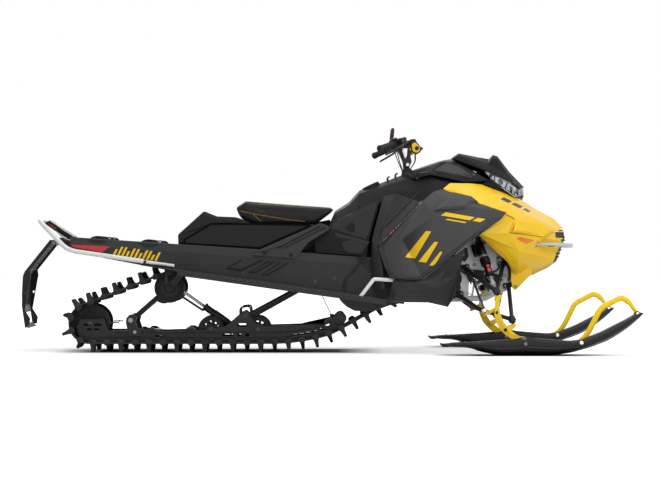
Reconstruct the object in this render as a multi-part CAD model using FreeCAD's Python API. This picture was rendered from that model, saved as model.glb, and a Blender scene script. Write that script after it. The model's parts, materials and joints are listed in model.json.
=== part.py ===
"""A deep-snow snowmobile with a long single track, a narrow tunnel and two steered skis.

Frame: +X forwards, +Y to the rider's left, +Z up. The origin is on the floor, midway between the snow
flap and the ski tips and on the plane of symmetry. Lengths are in millimetres. A side piece is
drawn once on the left (+Y) and mirrored. Bodywork is folded sheet: a table of corner points, the faces
that join them, and one wall thickness.
"""
import FreeCAD
import Part
import math
import os

Vec = FreeCAD.Vector
UP = Vec(0, 0, 1)
ALONG = Vec(1, 0, 0)
ACROSS = Vec(0, 1, 0)

# ---- driving dimensions -------------------------------------------------------------------------
overall_length = 3180.0
fit_gap = 0.3              # seated pieces that only touch
running_gap = 5.0          # pieces that move past each other

belt_width = 381.0
belt_side_room = 20.5      # between the belt's edge and the tunnel's side plate
tunnel_sheet = 4.0
tunnel_half = belt_width / 2 + belt_side_room + tunnel_sheet   # outside of the side plates
tunnel_rear = -1330.0
tunnel_bevel = 24.0        # sloped shoulder between top and side
board_width = 165.0
board_half = tunnel_half + board_width
board_rear = -760.0
board_front = 300.0
board_lip = 28.0

belt_thickness = 7.0
lug_height = 44.0
lug_count = 51
belt_inside = lug_height + belt_thickness      # height of the lower run's inner face
rear_wheel_radius = 100.0
rear_axle_x = -1235.0
rear_axle_z = belt_inside + rear_wheel_radius
carrier_x, carrier_z, carrier_radius = -818.0, 336.0, 80.0
drive_x, drive_z, drive_radius = 258.0, 332.0, 90.0
drive_room = 1.0           # from the lugs round the drive wheels to the tunnel's front end
tunnel_front = drive_x + drive_radius + belt_inside + drive_room
idler_radius = 68.0
idler_stations = (-605.0, -358.0)
rail_y = 124.0             # inner face of each rail
rail_wheel_y = 98.0        # middle of the wheels that run beside the rails
rail_thickness = 12.0
rail_bend_start = -300.0   # where the slide rails start to rise
rail_bend_radius = 1150.0
rail_nose_radius = 400.0
rail_bend_angle = 13.3

ski_stance = 910.0         # between ski centres
ski_width = 168.0
ski_tip_x = overall_length / 2
ski_bolt_x, ski_bolt_z = 990.0, 76.0
ski_bolt_radius = 7.0
kingpin_inset = 55.0       # ski centre to kingpin
kingpin_y = ski_stance / 2 - kingpin_inset
lower_ball = Vec(938, kingpin_y, 178)
upper_ball = Vec(860, kingpin_y, 322)
steering_arm = 101.0       # kingpin axis to tie-rod end
steering_arm_rise = 88.0   # up the kingpin axis from the lower ball

post_radius = 14.0
bar_radius = 11.0
bar_half = 360.0
grip_radius = 16.0
bumper_radius = 12.0

panel_wall = 6.0
visor_wall = 5.0
lens_depth = 26.0


# ---- small tools ------------------------------------------------------------------------------------
def block(x0, x1, y0, y1, z0, z1):
    return Part.makeBox(x1 - x0, y1 - y0, z1 - z0, Vec(x0, y0, z0))


def rod(a, b, radius):
    return Part.makeCylinder(radius, (b - a).Length, a, b - a)


def wheel(x, y0, y1, z, radius, bore=0.0):
    disc = Part.makeCylinder(radius, y1 - y0, Vec(x, y0, z), ACROSS)
    if bore:
        disc = disc.cut(Part.makeCylinder(bore, y1 - y0, Vec(x, y0, z), ACROSS))
    return disc


def prism(outline, y0, y1):
    """An outline of (x, z) corners, made solid from y0 to y1."""
    corners = [Vec(x, y0, z) for x, z in outline]
    return Part.Face(Part.makePolygon(corners + corners[:1])).extrude(Vec(0, y1 - y0, 0))


def plan_prism(outline, z0, z1):
    """An outline of (x, y) corners, made solid from z0 to z1."""
    corners = [Vec(x, y, z0) for x, y in outline]
    return Part.Face(Part.makePolygon(corners + corners[:1])).extrude(Vec(0, 0, z1 - z0))


def mirrored(shape):
    return shape.mirror(Vec(0, 0, 0), ACROSS)


def pair(shape):
    """The left piece and its mirror image as one compound of separate solids."""
    return Part.makeCompound([shape, mirrored(shape)])


def joined(first, *others):
    """One solid from several, without seams where that leaves its volume as it was."""
    whole = first.fuse(list(others))
    if not whole.isValid():
        whole = first
        for other in others:
            whole = whole.fuse(other)
    smooth = whole.copy().removeSplitter()
    same = abs(smooth.Volume - whole.Volume) < 1e-4 * whole.Volume and smooth.isValid()
    return smooth if same else whole


def bent_path(points, bend):
    """Straight runs joined by tangent arcs of radius bend (or less where a run is short)."""
    edges = []
    start = points[0]
    for before, corner, after in zip(points, points[1:], points[2:]):
        arrive = (corner - before).normalize()
        leave = (after - corner).normalize()
        turn = arrive.getAngle(leave)
        shorter = min((corner - before).Length, (after - corner).Length)
        setback = min(bend * math.tan(turn / 2), 0.45 * shorter)
        radius = setback / math.tan(turn / 2)
        first, last = corner - arrive * setback, corner + leave * setback
        inward = (leave - arrive).normalize()
        middle = corner + inward * (radius / math.cos(turn / 2) - radius)
        edges.append(Part.LineSegment(start, first).toShape())
        edges.append(Part.Arc(first, middle, last).toShape())
        start = last
    edges.append(Part.LineSegment(start, points[-1]).toShape())
    return Part.Wire(edges)


def bent_tube(points, radius, bend):
    path = bent_path(points, bend)
    ring = Part.Wire(Part.makeCircle(radius, points[0], points[1] - points[0]))
    return path.makePipeShell([ring], True, False)


def closed_solid(triangles):
    """A solid from a closed set of corner triples."""
    faces = [Part.Face(Part.makePolygon([a, b, c, a])) for a, b, c in triangles]
    shell = Part.Shell(faces)
    solid = Part.Solid(shell)
    if solid.Volume < 0:
        solid.reverse()
    return solid.removeSplitter()


def fan(face):
    return [(face[0], face[i], face[i + 1]) for i in range(1, len(face) - 1)]


def same_way_round(triangles):
    """The triangles turned so that neighbours agree which side is outside."""
    waiting, done, used = list(triangles), [], set()
    while waiting:
        for i, (a, b, c) in enumerate(waiting):
            if not done or {(b, a), (c, b), (a, c)} & used:
                break
            if {(a, b), (b, c), (c, a)} & used:
                b, c = c, b
                break
        waiting.pop(i)
        done.append((a, b, c))
        used |= {(a, b), (b, c), (c, a)}
    return done


def folded_sheet(corners, faces, wall, inside, both_sides=False):
    """Sheet bodywork: named outer corners, faces as names, one wall thickness measured inwards.

    inside is a point behind every face. With both_sides the corners are also mirrored, and those
    on the plane of symmetry are shared, so one piece spans the machine.
    """
    points = {name: Vec(*p) for name, p in corners.items()}
    faces = [f.split() for f in faces]
    if both_sides:
        twin = {n: n if abs(p.y) < 1e-6 else n + "'" for n, p in points.items()}
        points.update({twin[n]: Vec(p.x, -p.y, p.z) for n, p in list(points.items())})
        faces = faces + [[twin[n] for n in f] for f in faces]
    oriented = same_way_round([t for f in faces for t in fan(f)])
    facing = 0.0
    for a, b, c in oriented:
        centre = (points[a] + points[b] + points[c]) / 3
        towards = Vec(inside.x, max(min(centre.y, inside.y), -inside.y), inside.z)
        facing += (points[b] - points[a]).cross(points[c] - points[a]).dot(centre - towards)
    if facing < 0:
        oriented = [(a, c, b) for a, b, c in oriented]
    outward = {n: Vec(0, 0, 0) for n in points}
    for a, b, c in oriented:
        normal = (points[b] - points[a]).cross(points[c] - points[a]).normalize()
        for n in (a, b, c):
            outward[n] = outward[n] + normal
    inner = {n: points[n] - outward[n].normalize() * wall for n in points if outward[n].Length}
    for n in inner:
        if abs(points[n].y) < 1e-6:
            inner[n].y = 0
    edges = {}
    for a, b, c in oriented:
        for pq in ((a, b), (b, c), (c, a)):
            edges[pq] = edges.get(pq, 0) + 1
    solid = [(points[a], points[b], points[c]) for a, b, c in oriented]
    solid += [(inner[a], inner[c], inner[b]) for a, b, c in oriented]
    for p, q in edges:
        if (q, p) not in edges:
            solid += [(points[q], points[p], inner[p]), (points[q], inner[p], inner[q])]
    return closed_solid(solid)


def lofted(rings):
    """A solid through rings of corners, each ring with as many corners as the next."""
    triangles = []
    count = len(rings[0])
    for here, there in zip(rings, rings[1:]):
        for i in range(count):
            j = (i + 1) % count
            triangles += [(here[i], here[j], there[j]), (here[i], there[j], there[i])]
    caps = [Part.Face(Part.makePolygon(list(r) + [r[0]])) for r in (rings[0], rings[-1])]
    faces = [Part.Face(Part.makePolygon([a, b, c, a])) for a, b, c in triangles]
    solid = Part.Solid(Part.Shell(faces + caps))
    if solid.Volume < 0:
        solid.reverse()
    return solid.removeSplitter()


def between(table, x):
    """Straight-line reading of a table of (x, value) rows."""
    for (xa, va), (xb, vb) in zip(table, table[1:]):
        if x <= xb:
            return va + (vb - va) * (x - xa) / (xb - xa)
    return table[-1][1]


# ---- lines that several pieces share ------------------------------------------------------------------
def tunnel_top(x):
    return 597.0 - 0.0666 * (x + 1285.0)


def board_top(x):
    return 429.0 - 0.1413 * (x - board_rear)


def tunnel_bottom(x):
    return between([(tunnel_rear, 524), (board_rear, board_top(board_rear) - board_lip / 2),
                    (tunnel_front, board_top(tunnel_front) - board_lip / 2)], x)


# ---- track -------------------------------------------------------------------------------------------
def track_circles():
    """Circles the belt's inner face is wrapped around, in order: (x, z, radius)."""
    bend = math.radians(rail_bend_angle)
    flat_centre_z = belt_inside + rail_bend_radius
    nose_x = rail_bend_start + (rail_bend_radius - rail_nose_radius) * math.sin(bend)
    nose_z = flat_centre_z - (rail_bend_radius - rail_nose_radius) * math.cos(bend)
    return [(rear_axle_x, rear_axle_z, rear_wheel_radius),
            (rail_bend_start, flat_centre_z, rail_bend_radius),
            (nose_x, nose_z, rail_nose_radius),
            (drive_x, drive_z, drive_radius),
            (carrier_x, carrier_z, carrier_radius)]


def wrapped_path(circles, offset):
    """Tangent lines and arcs round the circles, moved outwards by offset, in order.

    Each piece is (start point, centre, radius, first angle, turn); a straight piece has no centre and
    its radius is its length, with the angle of its outward normal.
    """
    tangents = []
    count = len(circles)
    for i in range(count):
        xa, za, ra = circles[i]
        xb, zb, rb = circles[(i + 1) % count]
        gap = math.hypot(xb - xa, zb - za)
        lean = math.asin((ra - rb) / gap)
        normal = math.atan2(zb - za, xb - xa) - math.pi / 2 + lean
        tangents.append((normal, math.sqrt(gap * gap - (ra - rb) ** 2)))
    pieces = []
    for i in range(count):
        x, z, radius = circles[i]
        radius += offset
        arriving, leaving = tangents[i - 1][0], tangents[i][0]
        turn = (leaving - arriving) % (2 * math.pi)
        pieces.append((Vec(x, 0, z), radius, arriving, turn))
        start = Vec(x + radius * math.cos(leaving), 0, z + radius * math.sin(leaving))
        if tangents[i][1] > 1e-3:
            pieces.append((start, None, leaving, tangents[i][1]))
    return pieces


def piece_length(piece):
    return piece[3] if piece[1] is None else piece[1] * piece[3]


def point_on(piece, along):
    """Point, forward direction and outward direction at a distance along one piece."""
    angle = piece[2] if piece[1] is None else piece[2] + along / piece[1]
    out = Vec(math.cos(angle), 0, math.sin(angle))
    forward = Vec(-out.z, 0, out.x)
    start = piece[0] + forward * along if piece[1] is None else piece[0] + out * piece[1]
    return start, forward, out


def wrapped_wire(pieces):
    edges = []
    for piece in pieces:
        length = piece_length(piece)
        if length < 1e-3:
            continue
        first, middle, last = [point_on(piece, length * share)[0] for share in (0.0, 0.5, 1.0)]
        edge = Part.LineSegment(first, last) if piece[1] is None else Part.Arc(first, middle, last)
        edges.append(edge.toShape())
    return Part.Wire(edges)


def make_track():
    circles = track_circles()
    outer = wrapped_path(circles, belt_thickness)
    band = Part.Face(wrapped_wire(outer)).extrude(Vec(0, belt_width, 0))
    round_trip = sum(piece_length(piece) for piece in outer)
    root_half, tip_half, sunk = 13.0, 8.0, 2.0
    lugs = []
    for i in range(lug_count):
        along = round_trip * (i + 0.35) / lug_count
        for piece in outer:
            if along <= piece_length(piece):
                break
            along -= piece_length(piece)
        point, forward, out = point_on(piece, along)
        profile = [point - forward * root_half - out * sunk, point + forward * root_half - out * sunk,
                   point + forward * tip_half + out * lug_height,
                   point - forward * tip_half + out * lug_height]
        lugs.append(Part.Face(Part.makePolygon(profile + profile[:1])).extrude(Vec(0, belt_width, 0)))
    hollow = Part.Face(wrapped_wire(wrapped_path(circles, 0))).extrude(Vec(0, belt_width, 0))
    track = joined(band, *lugs).cut(hollow)
    track.translate(Vec(0, -belt_width / 2, 0))
    return track


# ---- slide rail suspension ------------------------------------------------------------------------------
def make_rails():
    """Two slide rails: the lower edge follows the belt, the upper edge is (x, height above the belt)."""
    slider = belt_inside + fit_gap
    bend = math.radians(rail_bend_angle)
    lower = [(rear_axle_x - 62, rear_axle_z - 62), (rear_axle_x - 28, slider + 9), (rear_axle_x, slider),
             (rail_bend_start, slider)]
    for share in (0.5, 1.0):
        a = bend * share
        lower.append((rail_bend_start + rail_bend_radius * math.sin(a),
                      slider + rail_bend_radius * (1 - math.cos(a))))
    x0, z0 = lower[-1]
    for extra in (7.0, 14.0, 18.0):
        a = bend + math.radians(extra)
        lower.append((x0 + rail_nose_radius * (math.sin(a) - math.sin(bend)),
                      z0 + rail_nose_radius * (math.cos(bend) - math.cos(a))))
    upper = [(104, 135), (86, 152), (58, 139), (12, 89), (-139, 89), (-330, 83), (-372, 99),
             (-402, 145), (-424, 163), (-446, 153), (-530, 81), (-661, 63), (-850, 57), (-940, 61),
             (-965, 73), (-1010, 73), (-1030, 61), (-1142, 61), (-1160, 121), (-1285, 121), (-1306, 79)]
    upper = [(x, belt_inside + z) for x, z in upper]
    rail = prism(lower + upper, rail_y, rail_y + rail_thickness)
    # (x, height above the belt, half length, radius) of the lightening slots
    slots = [(-880, 31, 10, 7), (-850, 31, 2, 7), (-515, 37, 22, 7), (-455, 37, 4, 7), (-415, 37, 4, 7),
             (-440, 89, 18, 9), (-1248, 91, 14, 6), (-1195, 91, 14, 6), (-1238, 67, 8, 5), (-1200, 67, 8, 5)]
    slots += [(-165 + 34 * i, 37 + 2.2 * i + 1.35 * i * i, 9, 6) for i in range(6)]
    cutters = []
    for x, height, half, radius in slots:
        z = belt_inside + height
        cutters += [wheel(x - half, rail_y, rail_y + rail_thickness, z, radius),
                    wheel(x + half, rail_y, rail_y + rail_thickness, z, radius),
                    block(x - half, x + half, rail_y, rail_y + rail_thickness, z - radius, z + radius)]
    rail = rail.cut(cutters)
    slots_for_axles = [wheel(x, rail_y, rail_y + rail_thickness, z, axle_radius + fit_gap)
                       for x, z in rail_axles()]
    return pair(rail.cut(slots_for_axles))


axle_radius = 8.0
cross_tube_x, cross_tube_z = 72.0, belt_inside + 127.0       # front cross tube between the rails
rear_arm_foot = Vec(-988, 0, belt_inside + 67)
front_arm_foot = Vec(-424, 0, belt_inside + 139)
rear_arm_top = Vec(carrier_x, 0, carrier_z)
front_arm_top = Vec(-150, 0, 328)


def rail_axles():
    return ([(x, idler_z()) for x in idler_stations]
            + [(cross_tube_x, cross_tube_z), (rear_arm_foot.x, rear_arm_foot.z),
               (front_arm_foot.x, front_arm_foot.z), (rear_axle_x, rear_axle_z)])


def idler_z():
    return belt_inside + idler_radius + fit_gap


def wheel_set(x, z, radius, wheels, half_axle, radius_of_axle=axle_radius):
    """Wheels as (y0, y1) spans on one axle, dished on both faces, made one piece."""
    axle = wheel(x, -half_axle, half_axle, z, radius_of_axle)
    discs = []
    for y0, y1 in wheels:
        disc = wheel(x, y0, y1, z, radius)
        dish_depth = (y1 - y0) * 0.3
        for face in (y0, y1 - dish_depth):
            ring = wheel(x, face, face + dish_depth, z, radius * 0.82, radius * 0.3)
            disc = disc.cut(ring)
        discs += [disc]
    return joined(axle, *discs)


def make_rear_wheels():
    spans = [(s - 13, s + 13) for s in (-rail_wheel_y, rail_wheel_y)]
    half_axle = rail_y + rail_thickness + 10
    return wheel_set(rear_axle_x, rear_axle_z, rear_wheel_radius - fit_gap, spans, half_axle)


def make_idler_wheels():
    spans = [(s - 11, s + 11) for s in (-rail_wheel_y, rail_wheel_y)]
    return Part.makeCompound([wheel_set(x, idler_z(), idler_radius, spans, rail_y + rail_thickness + 6)
                              for x in idler_stations])


def make_carrier_wheels():
    spans = [(s - 12, s + 12) for s in (-150, 150)]
    return wheel_set(carrier_x, carrier_z, carrier_radius - fit_gap, spans, tunnel_half - tunnel_sheet)


def make_drive_covers():
    """Left and right plates inside the tunnel that carry the drive axle's bearings."""
    outline = [(62, 300), (76, 262), (102, 238), (142, 217), (200, 212), (262, 222), (330, 246), (396, 258),
               (396, 430), (62, 430)]
    outer = tunnel_half - tunnel_sheet - fit_gap
    plate = prism(outline, outer - drive_cover_thickness, outer)
    return pair(plate.cut(wheel(drive_x, 0, 300, drive_z, drive_axle_radius + fit_gap)))


drive_cover_thickness = 12.0
drive_axle_radius = 14.0


def make_drive_axle():
    spans = [(s - 14, s + 14) for s in (-70, 70)]
    half_axle = tunnel_half - tunnel_sheet
    return wheel_set(drive_x, drive_z, drive_radius - fit_gap, spans, half_axle, drive_axle_radius)


def swing_arm(foot, head, foot_half, head_half, side_y, tube, foot_axle, head_ring=0.0):
    """Two side tubes and cross tubes at both ends; the head may ring an axle."""
    sides = []
    for side in (-1, 1):
        a = Vec(foot.x, side * side_y, foot.z)
        b = Vec(head.x, side * side_y, head.z)
        sides.append(rod(a, b, tube))
    foot_tube = rod(Vec(foot.x, -foot_half, foot.z), Vec(foot.x, foot_half, foot.z), foot_axle)
    head_tube = rod(Vec(head.x, -head_half, head.z), Vec(head.x, head_half, head.z), tube + 3)
    arm = joined(foot_tube, head_tube, *sides)
    if head_ring:
        arm = arm.cut(rod(Vec(head.x, -300, head.z), Vec(head.x, 300, head.z), head_ring))
    return arm


def make_rear_swing_arm():
    reach = rail_y + rail_thickness
    arm = swing_arm(rear_arm_foot, rear_arm_top, reach, 130, 100, 12, axle_radius, axle_radius + fit_gap)
    plates = []
    pin_x, pin_z = rear_shock_head.x, rear_shock_head.z
    for side in (-1, 1):
        inner, outer = sorted((side * (shock_eye_half + fit_gap), side * (shock_eye_half + 8)))
        plates.append(prism([(carrier_x - 6, carrier_z - 14), (pin_x - 6, pin_z - 13), (pin_x + 13, pin_z),
                             (pin_x + 2, pin_z + 12), (carrier_x, carrier_z + 15)], inner, outer))
    pin = wheel(pin_x, -shock_eye_half - 8, shock_eye_half + 8, pin_z, 5)
    arm = joined(arm, *plates, pin)
    return arm.cut(wheel(carrier_x, -300, 300, carrier_z, axle_radius + fit_gap))


def make_front_swing_arm():
    return swing_arm(front_arm_foot, front_arm_top, rail_y + rail_thickness, tunnel_half - tunnel_sheet,
                     rail_y - 16, 11, axle_radius)


rear_shock_head = Vec(-762, 0, 318)
rear_shock_foot = Vec(-486, 0, belt_inside + 71)
shock_eye_half = 11.0
front_shock_y = 52.0


def make_track_shocks():
    """Rear and centre gas shocks, each with the cross tube between the rails that holds its foot."""
    reach = rail_y + rail_thickness
    run = (rear_shock_foot - rear_shock_head).normalize()
    length = (rear_shock_foot - rear_shock_head).Length
    rear = joined(rod(rear_shock_head, rear_shock_foot, 7),
                  rod(rear_shock_head + run * length * 0.4, rear_shock_foot, 21),
                  wheel(rear_shock_head.x, -shock_eye_half, shock_eye_half, rear_shock_head.z, 12),
                  wheel(rear_shock_foot.x, -rail_y, rail_y, rear_shock_foot.z, 12))
    rear = rear.cut(wheel(rear_shock_head.x, -50, 50, rear_shock_head.z, 5 + fit_gap))
    foot = Vec(cross_tube_x, front_shock_y, cross_tube_z)
    head = Vec(front_arm_top.x, front_shock_y, front_arm_top.z)
    run = (foot - head).normalize()
    length = (foot - head).Length
    front = joined(rod(head, foot, 7), rod(head + run * length * 0.36, foot - run * 16, 20),
                   wheel(cross_tube_x, -reach, reach, cross_tube_z, axle_radius))
    front = front.cut(wheel(front_arm_top.x, -300, 300, front_arm_top.z, 14 + fit_gap))
    return Part.makeCompound([rear, front])


# ---- tunnel and what is bolted to it ---------------------------------------------------------------------
def make_tunnel():
    def ring(x):
        top, bottom, half, inner = tunnel_top(x), tunnel_bottom(x), tunnel_half, tunnel_half - tunnel_sheet
        shoulder = tunnel_half - tunnel_bevel * 0.6
        sheet = tunnel_sheet
        outside = [(half, bottom), (half, top - tunnel_bevel), (shoulder, top)]
        inside = [(inner, bottom), (inner, top - tunnel_bevel - sheet * 0.4),
                  (shoulder - sheet * 0.6, top - sheet)]
        loop = outside + [(-y, z) for y, z in reversed(outside)]
        loop += [(-y, z) for y, z in inside] + list(reversed(inside))
        return [Vec(x, y, z) for y, z in loop]
    shell = lofted([ring(x) for x in (tunnel_rear, board_rear, tunnel_front)])
    return shell.cut([rod(point - UP * 30, point + UP * 30, cargo_hole_radius + deck_hole_room)
                      for point in cargo_points()])


def make_running_board():
    """Left running board: a sloped plate with drain slots and a turned-down outer lip."""
    sheet = 4.0
    outline = [(x, board_top(x)) for x in (-900, board_front)]
    plate_side = [(x, z - sheet) for x, z in reversed(outline)]
    plate = prism(outline + plate_side, tunnel_half, board_half)
    lip_side = [(x, z - board_lip) for x, z in reversed(outline)]
    lip = prism(outline + lip_side, board_half - sheet, board_half)
    corner = plan_prism([(-910, board_half + 1), (-910, tunnel_half + 20), (board_rear, board_half + 1)],
                        200, 600)
    slots = []
    slot_count, slot_pitch, slot_length = 9, 108.0, 76.0
    for i in range(slot_count):
        x = board_rear + 70 + slot_pitch * i
        for y0, y1 in ((tunnel_half + 22, tunnel_half + 74), (tunnel_half + 88, board_half - 22)):
            slots.append(block(x, x + slot_length, y0, y1, 200, 500))
    return joined(plate, lip).cut(slots + [corner])


def make_rear_bumper():
    """U-shaped grab bar: along both tunnel sides, up and round the tail."""
    y = tunnel_half + bumper_radius + fit_gap
    side = [Vec(-786, y, 449), Vec(-1341, y, 531), Vec(-1425, y - 6, 604), Vec(-1492, y - 26, 684)]
    points = side + [Vec(p.x, -p.y, p.z) for p in reversed(side)]
    return bent_tube(points, bumper_radius, 55)


def make_snow_flap():
    """Moulded flap: a rear skin with a forward flange down each side."""
    outline = [(-1420, 598), (-1452, 588), (-1566, 428), (-1579, 404), (-overall_length / 2, 244),
               (-1571, 121), (-1524, 133), (-1512, 168), (-1538, 245), (-1502, 385), (-1510, 425),
               (-1476, 470), (-1392, 556)]
    skin = 7.0
    hollow = [(-1400, 606), (-1446, 580), (-1559, 424), (-1571, 402), (-1582, 244), (-1563, 112),
              (-1400, 112), (-1340, 600)]
    half = 150.0
    flap = prism(outline, -half, half).cut(prism(hollow, -half + skin, half - skin))
    hanger = prism([(-1420, 598), (-1452, 588), (-1470, 560), (-1392, 548), (-1350, 534), (-1322, 560)],
                   half - skin, half)
    return joined(flap, hanger, mirrored(hanger))


def make_tail_light():
    front = tunnel_rear - fit_gap
    outline = [(-1478, 676), (-1452, 682), (-1388, 636), (-1326, 600), (front, tunnel_top(tunnel_rear)),
               (front, 572), (-1352, 580), (-1400, 604)]
    return prism(outline, -95, 95)


def make_tail_panel():
    """Rear deck that closes the tunnel end below the tail light, and carries the flap and the bar."""
    front = tunnel_rear - fit_gap
    outline = [(front, 571), (front, 528), (-1390, 556), (-1399, 598), (-1352, 579)]
    return prism(outline, -142.7, 142.7)


cargo_stations = (-1170, -905)
cargo_spacing = 240.0
cargo_hole_radius = 8.0
cargo_base_height = 16.0
cargo_base_half = 52.0     # along the machine
deck_hole_room = 3.0       # the deck's holes are this much wider than the bases'


def cargo_points():
    """Where each base's hole meets the deck."""
    return [Vec(x, side * cargo_spacing / 2, tunnel_top(x)) for x in cargo_stations for side in (-1, 1)]


def make_cargo_mounts():
    """Two pairs of quick-fasten bases on the tunnel deck, each with one upright hole."""
    bases = []
    for point in cargo_points():
        x, y = point.x, point.y
        deck = tunnel_top(x + cargo_base_half)
        base = block(x - cargo_base_half, x + cargo_base_half, y - 22, y + 22, deck - 1,
                     deck + cargo_base_height)
        hole = rod(Vec(x, y, deck - 1), Vec(x, y, deck + cargo_base_height), cargo_hole_radius)
        under = prism([(x - 60, tunnel_top(x - 60)), (x + 60, tunnel_top(x + 60)), (x + 60, 400),
                       (x - 60, 400)], y - 30, y + 30)
        bases.append(base.cut([hole, under]))
    return Part.makeCompound(bases)


# ---- seat and tank -----------------------------------------------------------------------------------------
def tapered(outline, half_low, half_high, z_low, z_high):
    """An outline in side view whose half width changes evenly with height."""
    def half(z):
        share = (z - z_low) / (z_high - z_low)
        return half_low + (half_high - half_low) * share
    right = [Vec(x, -half(z), z) for x, z in outline]
    left = [Vec(x, half(z), z) for x, z in outline]
    return lofted_faces(right, left)


def lofted_faces(right, left):
    """A solid between two plane outlines that match corner by corner."""
    count = len(right)
    faces = [Part.Face(Part.makePolygon(right + right[:1])), Part.Face(Part.makePolygon(left + left[:1]))]
    for i in range(count):
        j = (i + 1) % count
        faces.append(Part.Face(Part.makePolygon([right[i], right[j], left[j], left[i], right[i]])))
    solid = Part.Solid(Part.Shell(faces))
    if solid.Volume < 0:
        solid.reverse()
    return solid


seat_floor = 667.0


def make_seat():
    outline = [(-468, 752), (-426, 785), (17, 753), (46, 742), (-50, seat_floor + fit_gap),
               (-375, seat_floor + fit_gap), (-424, 700)]
    return tapered(outline, 150, 128, seat_floor, 785)


def make_seat_base():
    """Storage and tank cover under the seat, from the tunnel deck up to the seat's floor."""
    outline = [(-775, tunnel_top(-775) + fit_gap), (-779, 612), (-641, 736), (-572, 708), (-476, 704),
               (-430, 696), (-386, seat_floor), (-60, seat_floor), (-60, tunnel_top(-60) + fit_gap)]
    return tapered(outline, 186, 132, 520, 740)


def make_side_struts():
    """Left and right diagonal legs from the tunnel side up to the console."""
    low_y, high_y, wall = tunnel_half + fit_gap, 190.0, 22.0
    outline = [(-385, 502), (-348, 534), (-35, 672), (3, 659), (13, 637), (-98, 569), (-174, 485)]

    def y_at(z):
        return between([(480, low_y), (560, low_y), (672, high_y)], z)
    inner = [Vec(x, y_at(z), z) for x, z in outline]
    leg = lofted_tris(inner, [p + Vec(0, wall, 0) for p in inner])
    return pair(leg.cut(make_tunnel()))


def lofted_tris(inner, outer):
    """A solid between two matching outlines whose corners need not lie in a plane."""
    count = len(inner)
    triangles = [(inner[a], inner[b], inner[c]) for a, b, c in fan(list(range(count)))]
    triangles += [(outer[a], outer[b], outer[c]) for a, b, c in fan(list(range(count)))]
    for i in range(count):
        j = (i + 1) % count
        triangles += [(inner[i], inner[j], outer[j]), (inner[i], outer[j], outer[i])]
    return closed_solid(triangles)


def make_toe_holds():
    """Left and right toe bars from the running board up to the side panel."""
    y = board_half - 16
    points = [Vec(164, y, board_top(164) - 12), Vec(238, y - 2, 384), Vec(352, 352, 376)]
    return bent_tube(points, 9.5, 22)


# ---- bodywork ------------------------------------------------------------------------------------------
body_core = Vec(600, 60, 500)


def make_console():
    corners = {
        "seat": (46, 0, 738), "seat_edge": (40, 92, 722), "ramp": (120, 0, 786),
        "ramp_edge": (118, 96, 768), "neck": (176, 0, 848), "neck_edge": (172, 88, 828),
        "cap": (250, 0, 872), "cap_edge": (246, 92, 850), "post": (404, 0, 930),
        "post_edge": (402, 100, 900), "front": (450, 0, 952), "front_edge": (446, 122, 915),
        "hip": (16, 176, 660), "mid": (150, 196, 716), "knee": (268, 205, 776),
        "brow": (430, 220, 838), "low_hip": (-58, 198, 600), "low_rear": (-58, 206, 520),
        "low_mid": (205, 240, 580), "low_front": (205, 236, 500),
    }
    faces = ["seat seat_edge ramp_edge ramp", "ramp ramp_edge neck_edge neck",
             "neck neck_edge cap_edge cap", "cap cap_edge post_edge post",
             "post post_edge front_edge front", "seat_edge hip mid ramp_edge",
             "ramp_edge mid neck_edge", "neck_edge mid knee cap_edge", "cap_edge knee brow post_edge",
             "post_edge brow front_edge", "hip low_hip low_mid mid", "mid low_mid knee",
             "low_hip low_rear low_front low_mid"]
    return folded_sheet(corners, faces, panel_wall, Vec(200, 60, 600), both_sides=True)


def make_knee_panels():
    """Left and right panels ahead of the rider's knees, down to the toe boxes."""
    root = tunnel_half + 23
    corners = {
        "top": (292, 234, 812), "crest": (356, 262, 822), "vent": (490, 330, 772),
        "foot": (258, 336, 560), "back": (232, root + 20, 590), "fold": (318, root + 62, 640),
        "low": (250, root + 62, 470), "low_back": (228, root + 12, 480), "toe_back": (240, root, 320),
        "toe_fold": (262, root + 62, 318), "toe_out": (292, 340, 330), "toe_top": (282, 338, 440),
    }
    faces = ["top crest fold back", "crest vent foot fold", "back fold low low_back", "fold foot low",
             "low_back low toe_fold toe_back", "low foot toe_top", "low toe_top toe_out toe_fold"]
    return pair(folded_sheet(corners, faces, panel_wall, Vec(400, 100, 560)))


def make_cowl_sides():
    """Left and right inner cowls that close the gap between hood, console and the outer panels."""
    corners = {
        "a": (438, 152, 894), "b": (540, 196, 914), "c": (700, 214, 872), "d": (730, 222, 862),
        "e": (628, 262, 862), "f": (588, 298, 834), "g": (544, 310, 818), "h": (492, 318, 764),
        "i": (436, 236, 826), "j": (362, 250, 812),
    }
    faces = ["a b i", "b f g i", "b c e f", "c d e", "i g h", "i h j"]
    return pair(folded_sheet(corners, faces, panel_wall, Vec(560, 60, 700)))


def make_side_panel():
    """Left engine cover: one big flat face with folded borders."""
    corners = {
        "a": (546, 330, 832), "b": (585, 318, 842), "c": (618, 316, 828), "d": (735, 322, 793),
        "e": (776, 330, 771), "f": (899, 352, 722), "g": (898, 350, 697), "h": (712, 392, 562),
        "i": (481, 408, 392), "j": (452, 408, 380), "k": (382, 404, 382), "l": (329, 384, 398),
        "m": (290, 356, 452), "n": (272, 344, 535), "o": (262, 346, 556), "p": (490, 362, 776),
        "q": (540, 392, 712), "r": (810, 386, 672), "s": (452, 418, 400), "t": (384, 416, 404),
        "u": (348, 404, 440), "v": (372, 404, 590), "w": (620, 362, 770), "x": (758, 366, 748),
    }
    faces = ["a b w p", "b c d w", "w d x", "d e x", "x e f", "x f r", "w x r q", "p w q", "p q v o",
             "q r h v", "r f g", "r g h", "v h i s", "v s t u", "s i j", "s j t", "j k t", "t k l u",
             "u l m", "u m n v", "n o v"]
    return folded_sheet(corners, faces, panel_wall, body_core)


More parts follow.
